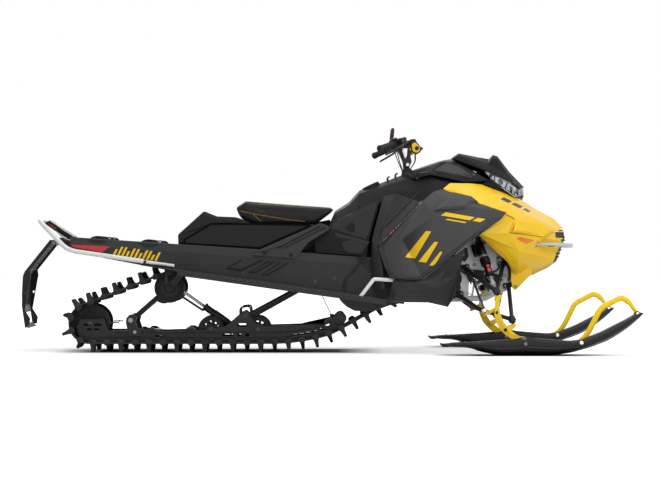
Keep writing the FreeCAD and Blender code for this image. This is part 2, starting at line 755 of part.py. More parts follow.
def make_lower_panels():
    """Left and right belly covers below the engine covers."""
    corners = {
        "a": (338, 372, 384), "b": (384, 394, 372), "c": (454, 398, 370), "d": (486, 398, 382),
        "e": (703, 372, 543), "f": (652, 300, 290), "g": (622, 262, 246), "h": (520, 300, 262),
        "i": (306, 312, 264), "j": (420, 372, 318), "k": (560, 366, 330), "l": (660, 350, 400),
    }
    faces = ["a b j i", "b c k j", "c d l k", "d e l", "l f g k", "k g h j", "j h i"]
    return pair(folded_sheet(corners, faces, panel_wall, Vec(500, 60, 420)))


def make_hood():
    """Dark upper hood from the steering post to the visor."""
    corners = {
        "rear": (462, 0, 957), "rear_edge": (440, 96, 940), "crown": (606, 0, 1006),
        "crown_edge": (602, 104, 996), "brow": (668, 0, 1016), "brow_edge": (664, 112, 994),
        "rear_low": (442, 166, 902), "mid_low": (540, 214, 930), "front": (826, 208, 901),
        "front_low": (798, 224, 885), "crease": (700, 230, 886), "nose": (826, 0, 912),
    }
    faces = ["rear rear_edge crown_edge crown", "crown crown_edge brow_edge brow",
             "rear_edge rear_low mid_low", "rear_edge mid_low crown_edge",
             "crown_edge mid_low brow_edge", "brow_edge mid_low front",
             "mid_low crease front_low front", "brow brow_edge front nose"]
    return folded_sheet(corners, faces, panel_wall, Vec(650, 60, 800), both_sides=True)


def make_visor():
    """Instrument visor and headlight surround above the hood."""
    corners = {
        "back": (676, 0, 1030), "back_edge": (660, 96, 1012), "top": (700, 0, 1044),
        "top_edge": (690, 88, 1032), "mid": (800, 0, 1024), "mid_edge": (792, 98, 1004),
        "dip": (858, 0, 1014), "dip_edge": (846, 92, 986), "fin": (880, 0, 1036),
        "fin_edge": (868, 60, 1018), "fin_front": (904, 0, 1030), "fin_front_edge": (896, 62, 1010),
        "slope": (966, 0, 948), "slope_edge": (950, 84, 930), "tip": (1046, 0, 864),
        "tip_edge": (1010, 92, 860), "cheek": (836, 168, 946), "cheek_low": (842, 200, 902),
        "lamp_back": (850, 186, 930), "lamp_mid": (905, 160, 912),
    }
    faces = ["back back_edge top_edge top", "top top_edge mid_edge mid", "mid mid_edge dip_edge dip",
             "dip dip_edge fin_edge fin", "fin fin_edge fin_front_edge fin_front",
             "fin_front fin_front_edge slope_edge slope", "slope slope_edge tip_edge tip",
             "back_edge cheek top_edge", "top_edge cheek mid_edge", "mid_edge cheek dip_edge",
             "dip_edge cheek lamp_back lamp_mid", "dip_edge lamp_mid slope_edge",
             "slope_edge lamp_mid tip_edge", "dip_edge slope_edge fin_front_edge",
             "dip_edge fin_front_edge fin_edge", "cheek cheek_low lamp_back"]
    return folded_sheet(corners, faces, visor_wall, Vec(850, 40, 880), both_sides=True)


def make_headlight():
    """One wrap-round lamp: left and right lenses that meet on the centre line."""
    right = [Vec(850, 182, 926), Vec(905, 156, 906), Vec(1006, 88, 856), Vec(1040, 0, 858)]
    lower = [Vec(862, 186, 902), Vec(908, 176, 868), Vec(1000, 116, 826), Vec(1044, 0, 818)]
    half = right + lower[::-1]
    corners = {f"u{i}": tuple(p) for i, p in enumerate(right)}
    corners.update({f"l{i}": tuple(p) for i, p in enumerate(lower)})
    faces = [f"u{i} u{i + 1} l{i + 1} l{i}" for i in range(len(half) // 2 - 1)]
    return folded_sheet(corners, faces, lens_depth, Vec(850, 10, 860), both_sides=True)


def make_lamp_surround():
    """Black strip under the headlight, between it and the nose cover."""
    corners = {
        "u0": (830, 205, 893), "u1": (862, 188, 899), "u2": (908, 177, 865), "u3": (1000, 117, 823),
        "u4": (1045, 0, 815), "l0": (806, 216, 874), "l1": (852, 206, 860), "l2": (884, 198, 846),
        "l3": (1002, 113, 808), "l4": (1036, 0, 800),
    }
    faces = ["u0 u1 l1 l0", "u1 u2 l2 l1", "u2 u3 l3 l2", "u3 u4 l4 l3"]
    return folded_sheet(corners, faces, panel_wall, Vec(850, 20, 800), both_sides=True)


def make_nose_cover():
    """Upper nose: the ridge line, its two shoulders and the block beside the bumper."""
    corners = {
        "wing": (594, 306, 848), "wing_top": (630, 270, 876), "root": (735, 236, 876),
        "lamp": (800, 216, 872), "lamp2": (880, 196, 842), "throat": (1000, 110, 806),
        "ridge0": (1008, 0, 806), "ridge1": (1088, 0, 760), "ridge2": (1153, 0, 725),
        "ridge3": (1204, 0, 698), "tip": (1252, 0, 648), "line1": (905, 276, 772),
        "line2": (1038, 206, 714), "line3": (1150, 136, 668), "line4": (1224, 58, 642),
        "edge0": (620, 312, 834), "edge1": (742, 316, 795), "edge2": (780, 326, 770),
        "edge3": (902, 342, 724), "edge4": (962, 318, 692), "block0": (936, 330, 622),
        "block1": (1120, 230, 600), "block2": (1196, 112, 632),
    }
    faces = ["wing wing_top edge0", "wing_top root edge1 edge0", "root lamp line1 edge2 edge1",
             "lamp lamp2 line1", "lamp2 throat line2 line1", "throat ridge0 ridge1 line2",
             "ridge1 ridge2 line3 line2", "ridge2 ridge3 line4 line3", "ridge3 tip line4",
             "edge2 line1 edge3", "line1 line2 edge4 edge3", "line2 line3 block1 edge4",
             "edge4 block1 block0", "line3 line4 block2 block1"]
    return folded_sheet(corners, faces, panel_wall, Vec(850, 60, 640), both_sides=True)


def make_nose_lower():
    """Lower nose: cheeks from the engine covers round to the grille, and the chin."""
    corners = {
        "a": (905, 338, 716), "b": (958, 314, 690), "c": (932, 326, 620), "d": (1116, 226, 598),
        "e": (1194, 108, 628), "f": (1246, 64, 632), "g": (1250, 62, 590), "h": (1206, 92, 478),
        "i": (1160, 100, 446), "j": (1092, 112, 412), "k": (1004, 150, 388), "l": (974, 166, 380),
        "m": (986, 230, 420), "n": (984, 304, 526), "p": (1216, 104, 580), "q": (942, 236, 452),
        "r": (908, 280, 516), "s": (780, 300, 606), "t": (782, 330, 618),
    }
    faces = ["t a b c", "t c n s", "c d n", "d e p", "e f g p", "d p n", "n p h m", "p g h", "h i m",
             "i j k m", "k l m", "s n m r", "r m q", "m l q"]
    return pair(folded_sheet(corners, faces, panel_wall, Vec(1000, 40, 560)))


def make_front_grille():
    """Dark centre grille and chin between the lower cheeks."""
    corners = {
        "top": (1250, 0, 640), "top_edge": (1240, 56, 636), "mid": (1258, 0, 586),
        "mid_edge": (1244, 56, 588), "low": (1216, 0, 472), "low_edge": (1200, 84, 474),
        "chin": (1168, 0, 438), "chin_edge": (1154, 92, 442), "jaw": (1096, 0, 404),
        "jaw_edge": (1086, 104, 408), "back": (976, 0, 368), "back_edge": (972, 140, 376),
    }
    faces = ["top top_edge mid_edge mid", "mid mid_edge low_edge low", "low low_edge chin_edge chin",
             "chin chin_edge jaw_edge jaw", "jaw jaw_edge back_edge back"]
    return folded_sheet(corners, faces, panel_wall, Vec(1050, 20, 560), both_sides=True)


def make_front_bumper():
    side = [Vec(1064, 214, 560), Vec(1128, 232, 560), Vec(1190, 204, 560), Vec(1292, 96, 554)]
    points = side + [Vec(p.x, -p.y, p.z) for p in reversed(side)]
    return bent_tube(points, 11, 45)


# ---- bulkhead, engine and front suspension -----------------------------------------------------------------
bulkhead_half = 132.0
bulkhead_plate = 10.0
bulkhead_deck = 598.0
bulkhead_floor = 262.0
bulkhead_sheet = 8.0
arm_barrel = 13.0          # outer radius of an arm's inner pivots
arm_barrel_half = 30.0
arm_tube = 11.0
barrel_y = bulkhead_half + arm_barrel + fit_gap
lower_pivots = (Vec(682, barrel_y, 300), Vec(948, barrel_y, 348))
upper_pivots = (Vec(712, barrel_y, 442), Vec(922, barrel_y, 466))
eye_radius = 20.0          # outer eye of an arm, round the kingpin
eye_half = 13.0
stud_radius = 9.0
pin_gap = 0.5
shock_head = Vec(784, 186, 586)
shock_brace_y = kingpin_y - 74.0      # where the brace that carries the shock crosses the upper arm
brace_radius = 8.0
engine_top = 560.0


def steering_axis():
    return (upper_ball - lower_ball).normalize()


def steering_back():
    """Square to the kingpin, in the plane of symmetry, pointing rearwards."""
    up = steering_axis()
    return Vec(-up.z, 0, up.x)


def kingpin_at(along):
    return lower_ball + steering_axis() * along


def tie_rod_outer():
    return kingpin_at(steering_arm_rise) + steering_back() * steering_arm


tie_rod_inner = Vec(792, 0, 350)


def pitman_pivot():
    return tie_rod_inner - steering_back() * steering_arm


def make_bulkhead():
    """Side plates, floor, front wall of the tunnel, pivot bolts with their tabs, and shock towers."""
    outline = [(640, bulkhead_floor), (830, 266), (952, 326), (968, 362), (936, 482), (880, 552), (812, 612),
               (754, 616), (690, 560), (640, 480)]
    plate = prism(outline, bulkhead_half - bulkhead_plate, bulkhead_half)
    plate = plate.cut(prism([(740, 288), (848, 290), (880, 340), (862, 408), (744, 408)], 0, 200))
    floor_half = bulkhead_half * 1.45
    floor = block(tunnel_front + fit_gap, 700, -floor_half, floor_half, bulkhead_floor,
                  bulkhead_floor + bulkhead_sheet)
    wall = block(tunnel_front + fit_gap, tunnel_front + bulkhead_sheet, -tunnel_half, tunnel_half,
                 bulkhead_floor, 480)
    roof = prism([(690, 552), (754, 608), (812, 604), (880, 544), (880, 552), (812, 612), (754, 616),
                  (690, 560)], -bulkhead_half, bulkhead_half)
    pieces = [mirrored(plate), floor, wall, roof]
    for pivots in (lower_pivots, upper_pivots):
        run = (pivots[1] - pivots[0]).normalize()
        for pivot in pivots:
            across = Vec(0, bulkhead_half - 2, 0)
            pivot_foot = Vec(pivot.x, 0, pivot.z)
            pieces.append(rod(pivot_foot - across, pivot_foot + across, 12))
            bolt = rod(pivot - run * (arm_barrel_half + 5), pivot + run * (arm_barrel_half + 5), 5)
            tabs = []
            for end in (-1, 1):
                near = pivot + run * end * (arm_barrel_half + fit_gap)
                tab = rod(near, near + run * end * 5, 9)
                root = rod(near - Vec(0, 9, 0), near - Vec(0, 9, 0) + run * end * 5, 9)
                tabs += [tab, root]
            pieces += [bolt, mirrored(bolt)] + tabs + [mirrored(t) for t in tabs]
    eye = Vec(shock_head.x, shock_head.y, shock_head.z)
    for end in (-1, 1):
        near = eye + ALONG * end * (14 + fit_gap)
        ear = rod(near, near + ALONG * end * 6, 13)
        low_x, high_x = sorted((near.x, near.x + end * 6))
        arm = block(low_x, high_x, bulkhead_half - 4, shock_head.y, shock_head.z - 10, shock_head.z + 10)
        pieces += [ear, arm, mirrored(ear), mirrored(arm)]
    pin = rod(eye - ALONG * 20, eye + ALONG * 20, 5)
    pieces += [pin, mirrored(pin)]
    centre, up, half = pitman_pivot(), steering_axis(), bulkhead_half - 2
    post = rod(centre - up * 56, centre + up * 56, stud_radius)
    high_stay = block(centre.x - 45, centre.x + 30, -half, half, centre.z + 42, centre.z + 50)
    low_stay = block(centre.x - 5, centre.x + 66, -half, half, centre.z - 50, centre.z - 42)
    return joined(plate, *pieces, post, high_stay, low_stay)


def make_pitman_arm():
    """Steering pivot in the bulkhead: a hub on its post and an arm that drives both tie rods."""
    up = steering_axis()
    hub = rod(pitman_pivot() - up * 26, pitman_pivot() + up * 26, 20)
    start = pitman_pivot() - up * 4
    reach = rod(start, tie_rod_inner - up * 4, 10)
    end = rod(tie_rod_inner - up * 7, tie_rod_inner + up * 7, 16)
    pin_top = tie_stack + 3 * tie_eye_half + tie_eye_gap + 8
    pin = rod(tie_rod_inner, tie_rod_inner + up * pin_top, tie_pin_radius)
    arm = joined(hub, reach, end, pin)
    return arm.cut(rod(pitman_pivot() - up * 60, pitman_pivot() + up * 60, stud_radius + pin_gap))


tie_pin_radius = 6.0
tie_eye_radius = 13.0
tie_eye_half = 9.0
tie_eye_gap = 6.0
tie_rod_radius = 7.0
tie_stack = 7.0 + 5.0 + tie_eye_half     # from the arm's middle plane to the middle of a tie-rod eye


def make_tie_rod(side):
    """Left (+1) or right (-1) rod; on the pitman arm's pin the right eye sits above the left one."""
    up = steering_axis()
    outer = tie_rod_outer()
    outer.y = outer.y * side
    outer_eye = outer + up * tie_stack
    inner_eye = tie_rod_inner + up * (tie_stack if side > 0 else tie_stack + 2 * tie_eye_half + tie_eye_gap)
    pieces = []
    for centre in (outer_eye, inner_eye):
        pieces.append(rod(centre - up * tie_eye_half, centre + up * tie_eye_half, tie_eye_radius))
    body = joined(rod(outer_eye, inner_eye, tie_rod_radius), *pieces)
    for centre in (outer_eye, inner_eye):
        body = body.cut(rod(centre - up * 40, centre + up * 40, tie_pin_radius + pin_gap))
    return body


def make_spindle():
    """Left spindle: kingpin between both arms, steering arm to the rear, leg down to the ski bolt."""
    up, back = steering_axis(), steering_back()
    span = (upper_ball - lower_ball).Length
    ends = eye_half + 13
    stem = rod(kingpin_at(ends), kingpin_at(span - eye_half - 1.5), 17)
    stud = rod(kingpin_at(-eye_half - 14), kingpin_at(span + eye_half + 24), stud_radius)
    nuts = [rod(kingpin_at(-eye_half - 13), kingpin_at(-eye_half - 2), 14),
            rod(kingpin_at(span + eye_half + 12), kingpin_at(span + eye_half + 22), 13)]
    leg_in, leg_out = kingpin_y + eye_radius + 7, kingpin_y + eye_radius + 27
    leg = prism([(846, 298), (884, 306), (902, 262), (930, 196), (962, 148), (990, 118), (940, 118),
                 (920, 150), (884, 196), (862, 240)], leg_in, leg_out)
    low_end, high_end, half_deep = kingpin_at(44), kingpin_at(span - 18), back * 15
    bridge_corners = (low_end - half_deep, low_end + half_deep, high_end + half_deep, high_end - half_deep)
    bridge = prism([(corner.x, corner.z) for corner in bridge_corners], kingpin_y, leg_in + 1)
    foot = prism([(920, 150), (962, 148), (1010, 98), (1012, 76), (1005, 59), (990, 54), (975, 59), (966, 76),
                  (950, 104)],
                 ski_stance / 2 - foot_half, ski_stance / 2 + foot_half)
    arm_end = tie_rod_outer()
    arm = rod(kingpin_at(steering_arm_rise), arm_end, 9)
    pad = rod(arm_end - up * 7, arm_end + up * 7, 15)
    pin = rod(arm_end - up * 8, arm_end + up * (tie_stack + tie_eye_half + 9), tie_pin_radius)
    body = joined(stem, stud, *nuts, leg, bridge, foot, arm, pad, pin)
    bolt_hole = wheel(ski_bolt_x, 300, 600, ski_bolt_z, ski_bolt_radius + pin_gap)
    return body.cut(bolt_hole)


foot_half = 16.0
saddle_gap = 6.0
ski_ridge_half = foot_half + saddle_gap + 9.0
ski_tip_clear = 10.0


def make_ski():
    """Left ski: a keeled runner with a raised middle, and a saddle slot for the spindle's foot."""
    # (x, bottom z, top z of the middle, half width)
    stations = [(572, 51, 60, 40), (640, 44, 64, 70), (720, 33, 68, 80), (856, 3, 80, 84), (900, 0, 86, 84),
                (998, 0, 100, 84), (1073, 0, 90, 84), (1180, 2, 72, 84), (1225, 8, 70, 84), (1276, 22, 79, 84),
                (1377, 54, 118, 82), (1427, 80, 142, 78), (1503, 130, 182, 66), (ski_tip_x, 206, 216, 34)]
    centre = ski_stance / 2
    edge_rise, edge_thick, keel_half, keel_depth = 10.0, 7.0, 20.0, 7.0
    rings = []
    for x, low, high, half in stations:
        ridge = min(ski_ridge_half, half * 0.5)
        thick = min(edge_thick, (high - low) * 0.3)
        rise = min(edge_rise, (high - low) * 0.5)
        shelf = low + rise + thick
        ring = [(-half, low + rise), (-keel_half, low + keel_depth * 0.7), (-keel_half * 0.5, low),
                (keel_half * 0.5, low), (keel_half, low + keel_depth * 0.7), (half, low + rise),
                (half, shelf), (ridge + 6, min(shelf, high - 1)), (ridge, high), (-ridge, high),
                (-ridge - 6, min(shelf, high - 1)), (-half, shelf)]
        rings.append([Vec(x, centre + y, z) for y, z in ring])
    ski = lofted(rings)
    reach = foot_half + saddle_gap
    slot = prism([(935, 160), (935, 62), (955, 44), (1030, 44), (1046, 66), (1046, 160)],
                 centre - reach, centre + reach)
    bolt = wheel(ski_bolt_x, centre - reach - 6, centre + reach + 6, ski_bolt_z, ski_bolt_radius)
    return joined(ski.cut(slot), bolt)


def make_ski_loop():
    centre = ski_stance / 2
    outline = [(1240, 60), (1301, 124), (1392, 232), (1437, 274), (1488, 297), (1519, 287), (1564, 186)]
    return bent_tube([Vec(x, centre, z) for x, z in outline], 11.0, 24)


def arm_body(pivots, ball, dip=None, extra=()):
    """Left arm: two legs from pivot barrels to an eye round the kingpin; the rear leg may dip."""
    run = (pivots[1] - pivots[0]).normalize()
    pieces = [rod(ball - steering_axis() * eye_half, ball + steering_axis() * eye_half, eye_radius)]
    for pivot in pivots:
        pieces.append(rod(pivot - run * arm_barrel_half, pivot + run * arm_barrel_half, arm_barrel))
        if dip and pivot is pivots[0]:
            pieces.append(bent_tube([pivot, dip, ball], arm_tube, 160))
        else:
            pieces.append(rod(pivot, ball, arm_tube))
    body = joined(*pieces, *extra)
    cuts = [rod(pivot - run * 40, pivot + run * 40, 5 + fit_gap) for pivot in pivots]
    cuts.append(rod(ball - steering_axis() * 40, ball + steering_axis() * 40, stud_radius + pin_gap))
    return body.cut(cuts)


lower_arm_dip = Vec(786, kingpin_y - 144, 226)     # keeps the rear leg under the tie rod at full lock


def make_lower_arms():
    return pair(arm_body(lower_pivots, lower_ball, lower_arm_dip))


def shock_brace():
    """The two ends of the brace across the upper arm's legs, both at the brace's own width."""
    ends = []
    for pivot in upper_pivots:
        share = (shock_brace_y - pivot.y) / (upper_ball.y - pivot.y)
        ends.append(pivot + (upper_ball - pivot) * share)
    return ends


def make_upper_arms():
    low, high = shock_brace()
    return pair(arm_body(upper_pivots, upper_ball, None, [rod(low, high, brace_radius)]))


def make_front_shocks():
    low, high = shock_brace()
    across = (high - low).normalize()
    foot = (low + high) / 2
    run = (foot - shock_head).normalize()
    length = (foot - shock_head).Length
    half = 8.0
    pieces = [rod(shock_head - ALONG * 14, shock_head + ALONG * 14, 13), rod(shock_head, foot, 7.5),
              rod(shock_head + run * 20, shock_head + run * length * 0.52, 22),
              rod(shock_head + run * length * 0.52, shock_head + run * length * 0.6, 26),
              rod(shock_head + run * length * 0.6, shock_head + run * length * 0.84, 17),
              rod(foot - across * half, foot + across * half, 15)]
    body = joined(*pieces)
    body = body.cut([rod(shock_head - ALONG * 40, shock_head + ALONG * 40, 5 + fit_gap),
                     rod(foot - across * 40, foot + across * 40, brace_radius + fit_gap)])
    return pair(body)


def make_engine():
    return block(tunnel_front + bulkhead_sheet + fit_gap * 2, 630, -190, 190,
                 bulkhead_floor + bulkhead_sheet + fit_gap, engine_top)


# ---- steering post, bars and the frame inside the bodywork ------------------------------------------
post_low = Vec(535, 0, 640)
post_high = Vec(395, 0, 1062)
bearing_at = 64.0          # up the post from its lower end
bearing_half = 16.0


def post_direction():
    return (post_high - post_low).normalize()


def post_at(along):
    return post_low + post_direction() * along


bar_centre = Vec(426, 0, 1094)
bar_path = [(426, 58, 1094), (398, 150, 1100), (266, 362, 1048)]
loop_path = [(426, 46, 1102), (366, 46, 1102), (352, 42, 1171)]
loop_radius = 7.0


def make_steering_post():
    """Post with thrust collars either side of its bearing, and the forged riser that holds the bar."""
    post = rod(post_low, post_high, post_radius)
    collars = []
    for side in (-1, 1):
        near = post_at(bearing_at + side * (bearing_half + 5))
        collars.append(rod(near, near + post_direction() * side * 8, post_radius + 8))
    riser = prism([(374, 1064), (392, 1096), (408, 1110), (444, 1110), (454, 1088), (444, 1026), (450, 996),
                   (438, 972), (414, 972), (404, 996)], -30, 30)
    window = prism([(394, 1068), (430, 1070), (426, 1030), (416, 1012)], -60, 60)
    hole = wheel(429, -60, 60, 984, 9)
    body = joined(post, *collars).fuse(riser)
    body = body.cut([window, hole])
    return body.cut(rod(Vec(bar_centre.x, -80, bar_centre.z), Vec(bar_centre.x, 80, bar_centre.z),
                        bar_radius + fit_gap))


def bar_points():
    left = [Vec(*p) for p in bar_path]
    return [Vec(p.x, -p.y, p.z) for p in reversed(left)] + left


def make_handlebar():
    return bent_tube(bar_points(), bar_radius, 40)


def make_grab_loop():
    """Upright strap loop behind the riser, held on the bar either side of it by two clamps."""
    left = [Vec(*p) for p in loop_path]
    points = left + [Vec(p.x, -p.y, p.z) for p in reversed(left)]
    strap = bent_tube(points, loop_radius, 16)
    clamps = [rod(Vec(bar_centre.x, side * 36, bar_centre.z), Vec(bar_centre.x, side * 56, bar_centre.z), 18)
              for side in (-1, 1)]
    return joined(strap, *clamps).cut(make_handlebar())


def on_bar(share):
    """A point on the bar's swept part, share of the way out, and the direction outwards."""
    a, b = Vec(*bar_path[1]), Vec(*bar_path[2])
    return a + (b - a) * share, (b - a).normalize()


def make_grips():
    a, run = on_bar(0.47)
    b, _ = on_bar(0.985)
    return pair(rod(a, b, grip_radius).cut(rod(a - run * 20, b + run * 20, bar_radius + fit_gap)))


def make_hand_controls():
    """Left brake cylinder with its lever and reservoir, right throttle block with its thumb lever."""
    a, run = on_bar(0.14)
    b, _ = on_bar(0.44)
    hollow = rod(a - run * 30, b + run * 60, bar_radius + fit_gap)
    body = rod(a, b, 21)
    ahead = Vec(44, 18, 4)
    inboard = a + ahead - run * 50
    cylinder = rod(inboard, b + ahead * 0.8, 15)
    bridge = rod((a + b) / 2, (a + b) / 2 + ahead * 0.8, 13)
    cup = rod(inboard + Vec(6, 8, 4), inboard + Vec(2, 8, 42), 20)
    lever = bent_tube([b + ahead * 0.8, b + Vec(40, 60, -8), b + Vec(-30, 160, -32)], 5.5, 15)
    brake = joined(body, cylinder, bridge, cup, lever).cut(hollow)
    low = (a + b) / 2 + Vec(-30, 20, -26)
    throttle = joined(body, rod((a + b) / 2, low, 12), rod(low, low + Vec(-26, 26, -30), 7)).cut(hollow)
    return Part.makeCompound([brake, mirrored(throttle)])


def biggest(shape):
    return max(shape.Solids, key=lambda solid: solid.Volume)


frame_tube = 9.0


def post_clearance():
    return rod(post_at(-50), post_at(900), post_radius + running_gap + 1)


def make_body_frame(panels, seats):
    """Tubular frame: the post's bearing, its legs to tunnel and bulkhead, and a stay to every panel."""
    hub = post_at(bearing_at)
    ring = rod(post_at(bearing_at - bearing_half), post_at(bearing_at + bearing_half), post_radius + 14)
    roof = Vec(756, 96, bulkhead_deck + 10)
    nose = Vec(872, 62, 656)
    shoulder = hub + (Vec(286, 150, 480) - hub) * 0.7
    cross = hub + (roof - hub) * 0.5
    # (from, to) of the left-hand tubes; every tube is mirrored
    tubes = [(hub, Vec(286, 150, 480)), (hub, roof), (roof, nose), (cross, Vec(590, 64, 1020)),
             (nose, Vec(872, 62, 1060)), (Vec(872, 62, 880), Vec(985, 110, 880)),
             (nose, Vec(1080, 160, 760)), (Vec(872, 62, 800), Vec(960, 150, 838)),
             (cross, Vec(700, 420, 660)), (shoulder, Vec(284, 420, 690)), (shoulder, Vec(290, 130, 940)),
             (nose, Vec(1064, 214, 560)), (nose, Vec(1290, 26, 520)), (nose, Vec(1130, 200, 470)),
             (shoulder, Vec(372, 420, 300))]
    pieces = [ring]
    for a, b in tubes:
        tube = rod(a, b, frame_tube)
        pieces += [tube, mirrored(tube)]
    body = joined(*pieces)
    body = body.cut(rod(post_at(-20), post_at(500), post_radius + pin_gap))
    for side in (-1, 1):
        near = post_at(bearing_at + side * bearing_half)
        body = body.cut(rod(near, near + post_direction() * side * 21, post_radius + 13))
    return biggest(body.cut(panels + seats))


# ---- write the files -----------------------------------------------------------------------------------
def left_half(shape):
    return Part.makeCompound([solid for solid in shape.Solids if solid.CenterOfMass.y > 0])


def sides(name, left):
    return {name + "_left": left, name + "_right": mirrored(left)}


def build():
    made = {
        "tunnel": make_tunnel(), "tail_panel": make_tail_panel(), "rear_bumper": make_rear_bumper(),
        "snow_flap": make_snow_flap(), "tail_light": make_tail_light(), "track": make_track(),
        "rails": make_rails(), "rear_wheels": make_rear_wheels(), "idler_wheels": make_idler_wheels(),
        "carrier_wheels": make_carrier_wheels(), "drive_axle": make_drive_axle(),
        "drive_covers": make_drive_covers(),
        "rear_swing_arm": make_rear_swing_arm(), "front_swing_arm": make_front_swing_arm(),
        "track_shocks": make_track_shocks(),
        "cargo_mounts": make_cargo_mounts(), "seat": make_seat(), "seat_base": make_seat_base(),
        "side_struts": make_side_struts(), "console": make_console(),
        "knee_panels": make_knee_panels(), "cowl_sides": make_cowl_sides(),
        "lower_panels": make_lower_panels(), "hood": make_hood(), "visor": make_visor(),
        "headlight": make_headlight(),
        "lamp_surround": make_lamp_surround(), "nose_cover": make_nose_cover(),
        "nose_cheeks": make_nose_lower(), "front_grille": make_front_grille(),
        "front_bumper": make_front_bumper(), "bulkhead": make_bulkhead(), "engine": make_engine(),
        "lower_arms": make_lower_arms(), "upper_arms": make_upper_arms(),
        "front_shocks": make_front_shocks(), "pitman_arm": make_pitman_arm(),
        "steering_post": make_steering_post(), "handlebar": make_handlebar(),
        "grab_loop": make_grab_loop(), "grips": make_grips(),
        "hand_controls": make_hand_controls(),
    }
    made.update(sides("running_board", make_running_board()))
    made.update(sides("side_panel", make_side_panel()))
    made.update(sides("spindle", make_spindle()))
    made.update(sides("ski", make_ski()))
    made.update(sides("ski_loop", make_ski_loop()))
    made["tie_rod_left"] = make_tie_rod(1)
    made["tie_rod_right"] = make_tie_rod(-1)
    bumper = made["front_bumper"]
    made["nose_cheeks"] = made["nose_cheeks"].cut(bumper)
    made["console"] = made["console"].cut(post_clearance())
    made["hood"] = made["hood"].cut(post_clearance())
    made["cowl_sides"] = pair(biggest(left_half(made["cowl_sides"].cut([made["console"], made["hood"]]))))
    round_the_lamp = [made[n] for n in ("nose_cover", "headlight", "hood", "visor", "cowl_sides")]
    made["lamp_surround"] = biggest(made["lamp_surround"].cut(round_the_lamp))
    left_seats = [made["running_board_left"], made["lower_panels"], made["side_panel_left"]]
    made["toe_holds"] = pair(biggest(make_toe_holds().cut(left_seats)))
    for side in ("left", "right"):
        made["ski_loop_" + side] = biggest(made["ski_loop_" + side].cut(made["ski_" + side]))
    panels = [made[n] for n in ("console", "knee_panels", "cowl_sides", "side_panel_left",
                                "side_panel_right", "lower_panels", "hood", "visor", "headlight",
                                "lamp_surround", "nose_cover", "nose_cheeks", "front_grille")]
    seats = [made[n] for n in ("tunnel", "bulkhead", "front_bumper", "engine")]
    made["body_frame"] = make_body_frame(panels, seats)
    return made


os.makedirs("parts", exist_ok=True)
for old in os.listdir("parts"):
    os.remove(os.path.join("parts", old))
for name, shape in build().items():
    solids = shape.Solids
    sound = bool(solids) and shape.isValid() and all(s.isClosed() and s.Volume > 0 for s in solids)
    print(f"{name:20s} {len(solids)} {shape.Volume / 1e6:8.3f} l {'' if sound else 'NOT SOUND'}")
    shape.exportStep(os.path.join("parts", name + ".step"))
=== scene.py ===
import bpy
import bmesh
import math
import numpy as np
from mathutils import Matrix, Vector
from mathutils.bvhtree import BVHTree
from mathutils.geometry import tessellate_polygon
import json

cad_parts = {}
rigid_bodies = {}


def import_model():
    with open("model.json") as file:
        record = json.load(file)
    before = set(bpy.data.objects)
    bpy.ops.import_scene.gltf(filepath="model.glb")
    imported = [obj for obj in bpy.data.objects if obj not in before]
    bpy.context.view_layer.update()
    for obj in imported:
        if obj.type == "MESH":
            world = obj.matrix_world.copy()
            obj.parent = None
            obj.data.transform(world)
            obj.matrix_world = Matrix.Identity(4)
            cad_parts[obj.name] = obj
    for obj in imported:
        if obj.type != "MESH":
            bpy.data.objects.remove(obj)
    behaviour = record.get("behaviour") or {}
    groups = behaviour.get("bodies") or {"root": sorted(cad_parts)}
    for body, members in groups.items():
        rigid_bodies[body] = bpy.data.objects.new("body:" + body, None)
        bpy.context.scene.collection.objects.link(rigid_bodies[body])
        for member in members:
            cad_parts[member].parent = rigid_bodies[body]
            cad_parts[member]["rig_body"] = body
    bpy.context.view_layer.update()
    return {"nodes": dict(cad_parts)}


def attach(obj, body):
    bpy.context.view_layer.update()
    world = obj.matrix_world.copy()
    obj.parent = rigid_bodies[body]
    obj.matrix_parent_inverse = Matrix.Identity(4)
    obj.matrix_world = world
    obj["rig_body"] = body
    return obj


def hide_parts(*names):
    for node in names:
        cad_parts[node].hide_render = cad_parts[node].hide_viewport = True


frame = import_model()
nodes = frame["nodes"]
chassis = "chassis"
toMetres = 0.001                       # shapes below are worked out in millimetres
up, along, across = np.array([0, 0, 1.0]), np.array([1.0, 0, 0]), np.array([0, 1.0, 0])


# A shape is (points, face blocks): an n x 3 array and arrays of corner indices, one array per corner count.
def merged(shapes):
    # one shape from several: points stacked, and each block's indices shifted past the ones before
    points, faces, start = [], [], 0
    for p, f in shapes:
        points.append(p)
        faces += [block + start for block in f]
        start += len(p)
    return np.vstack(points), faces


def surface(points, capped=False, looped=False):
    # quads between neighbouring rows and columns; each row is a closed loop, looped joins the last row to the
    # first, and capped closes both end rows
    rows, columns = points.shape[:2]
    index = np.arange(rows * columns).reshape(rows, columns)
    if looped:
        index = np.vstack([index, index[:1]])
    a, b = index[:-1], index[1:]
    faces = [np.stack([a, np.roll(a, -1, 1), np.roll(b, -1, 1), b], axis=-1).reshape(-1, 4)]
    if capped:
        faces += [index[0][None, ::-1], index[-1][None]]
    return points.reshape(-1, 3), faces


def vec(*values):
    return np.array(values, float)


def unit(v):                           # the same direction, one long
    v = np.asarray(v, float)
    return v / np.linalg.norm(v)


def squareTo(axis):                    # two directions square to an axis
    axis = unit(axis)
    first = unit(np.cross(axis, up if abs(axis[2]) < 0.9 else along))
    return first, np.cross(axis, first)


def spun(profile, origin, axis, segments):
    # each (distance d, radius r) of the profile turned by angle t: origin + axis d + r (cos t u + sin t w)
    u, w = squareTo(axis)
    t = np.linspace(0, 2 * math.pi, segments, endpoint=False)[:, None]
    profile = np.asarray(profile, float)
    out = np.cos(t) * u + np.sin(t) * w
    return np.asarray(origin, float) + profile[:, :1, None] * unit(axis) + profile[:, 1:, None] * out


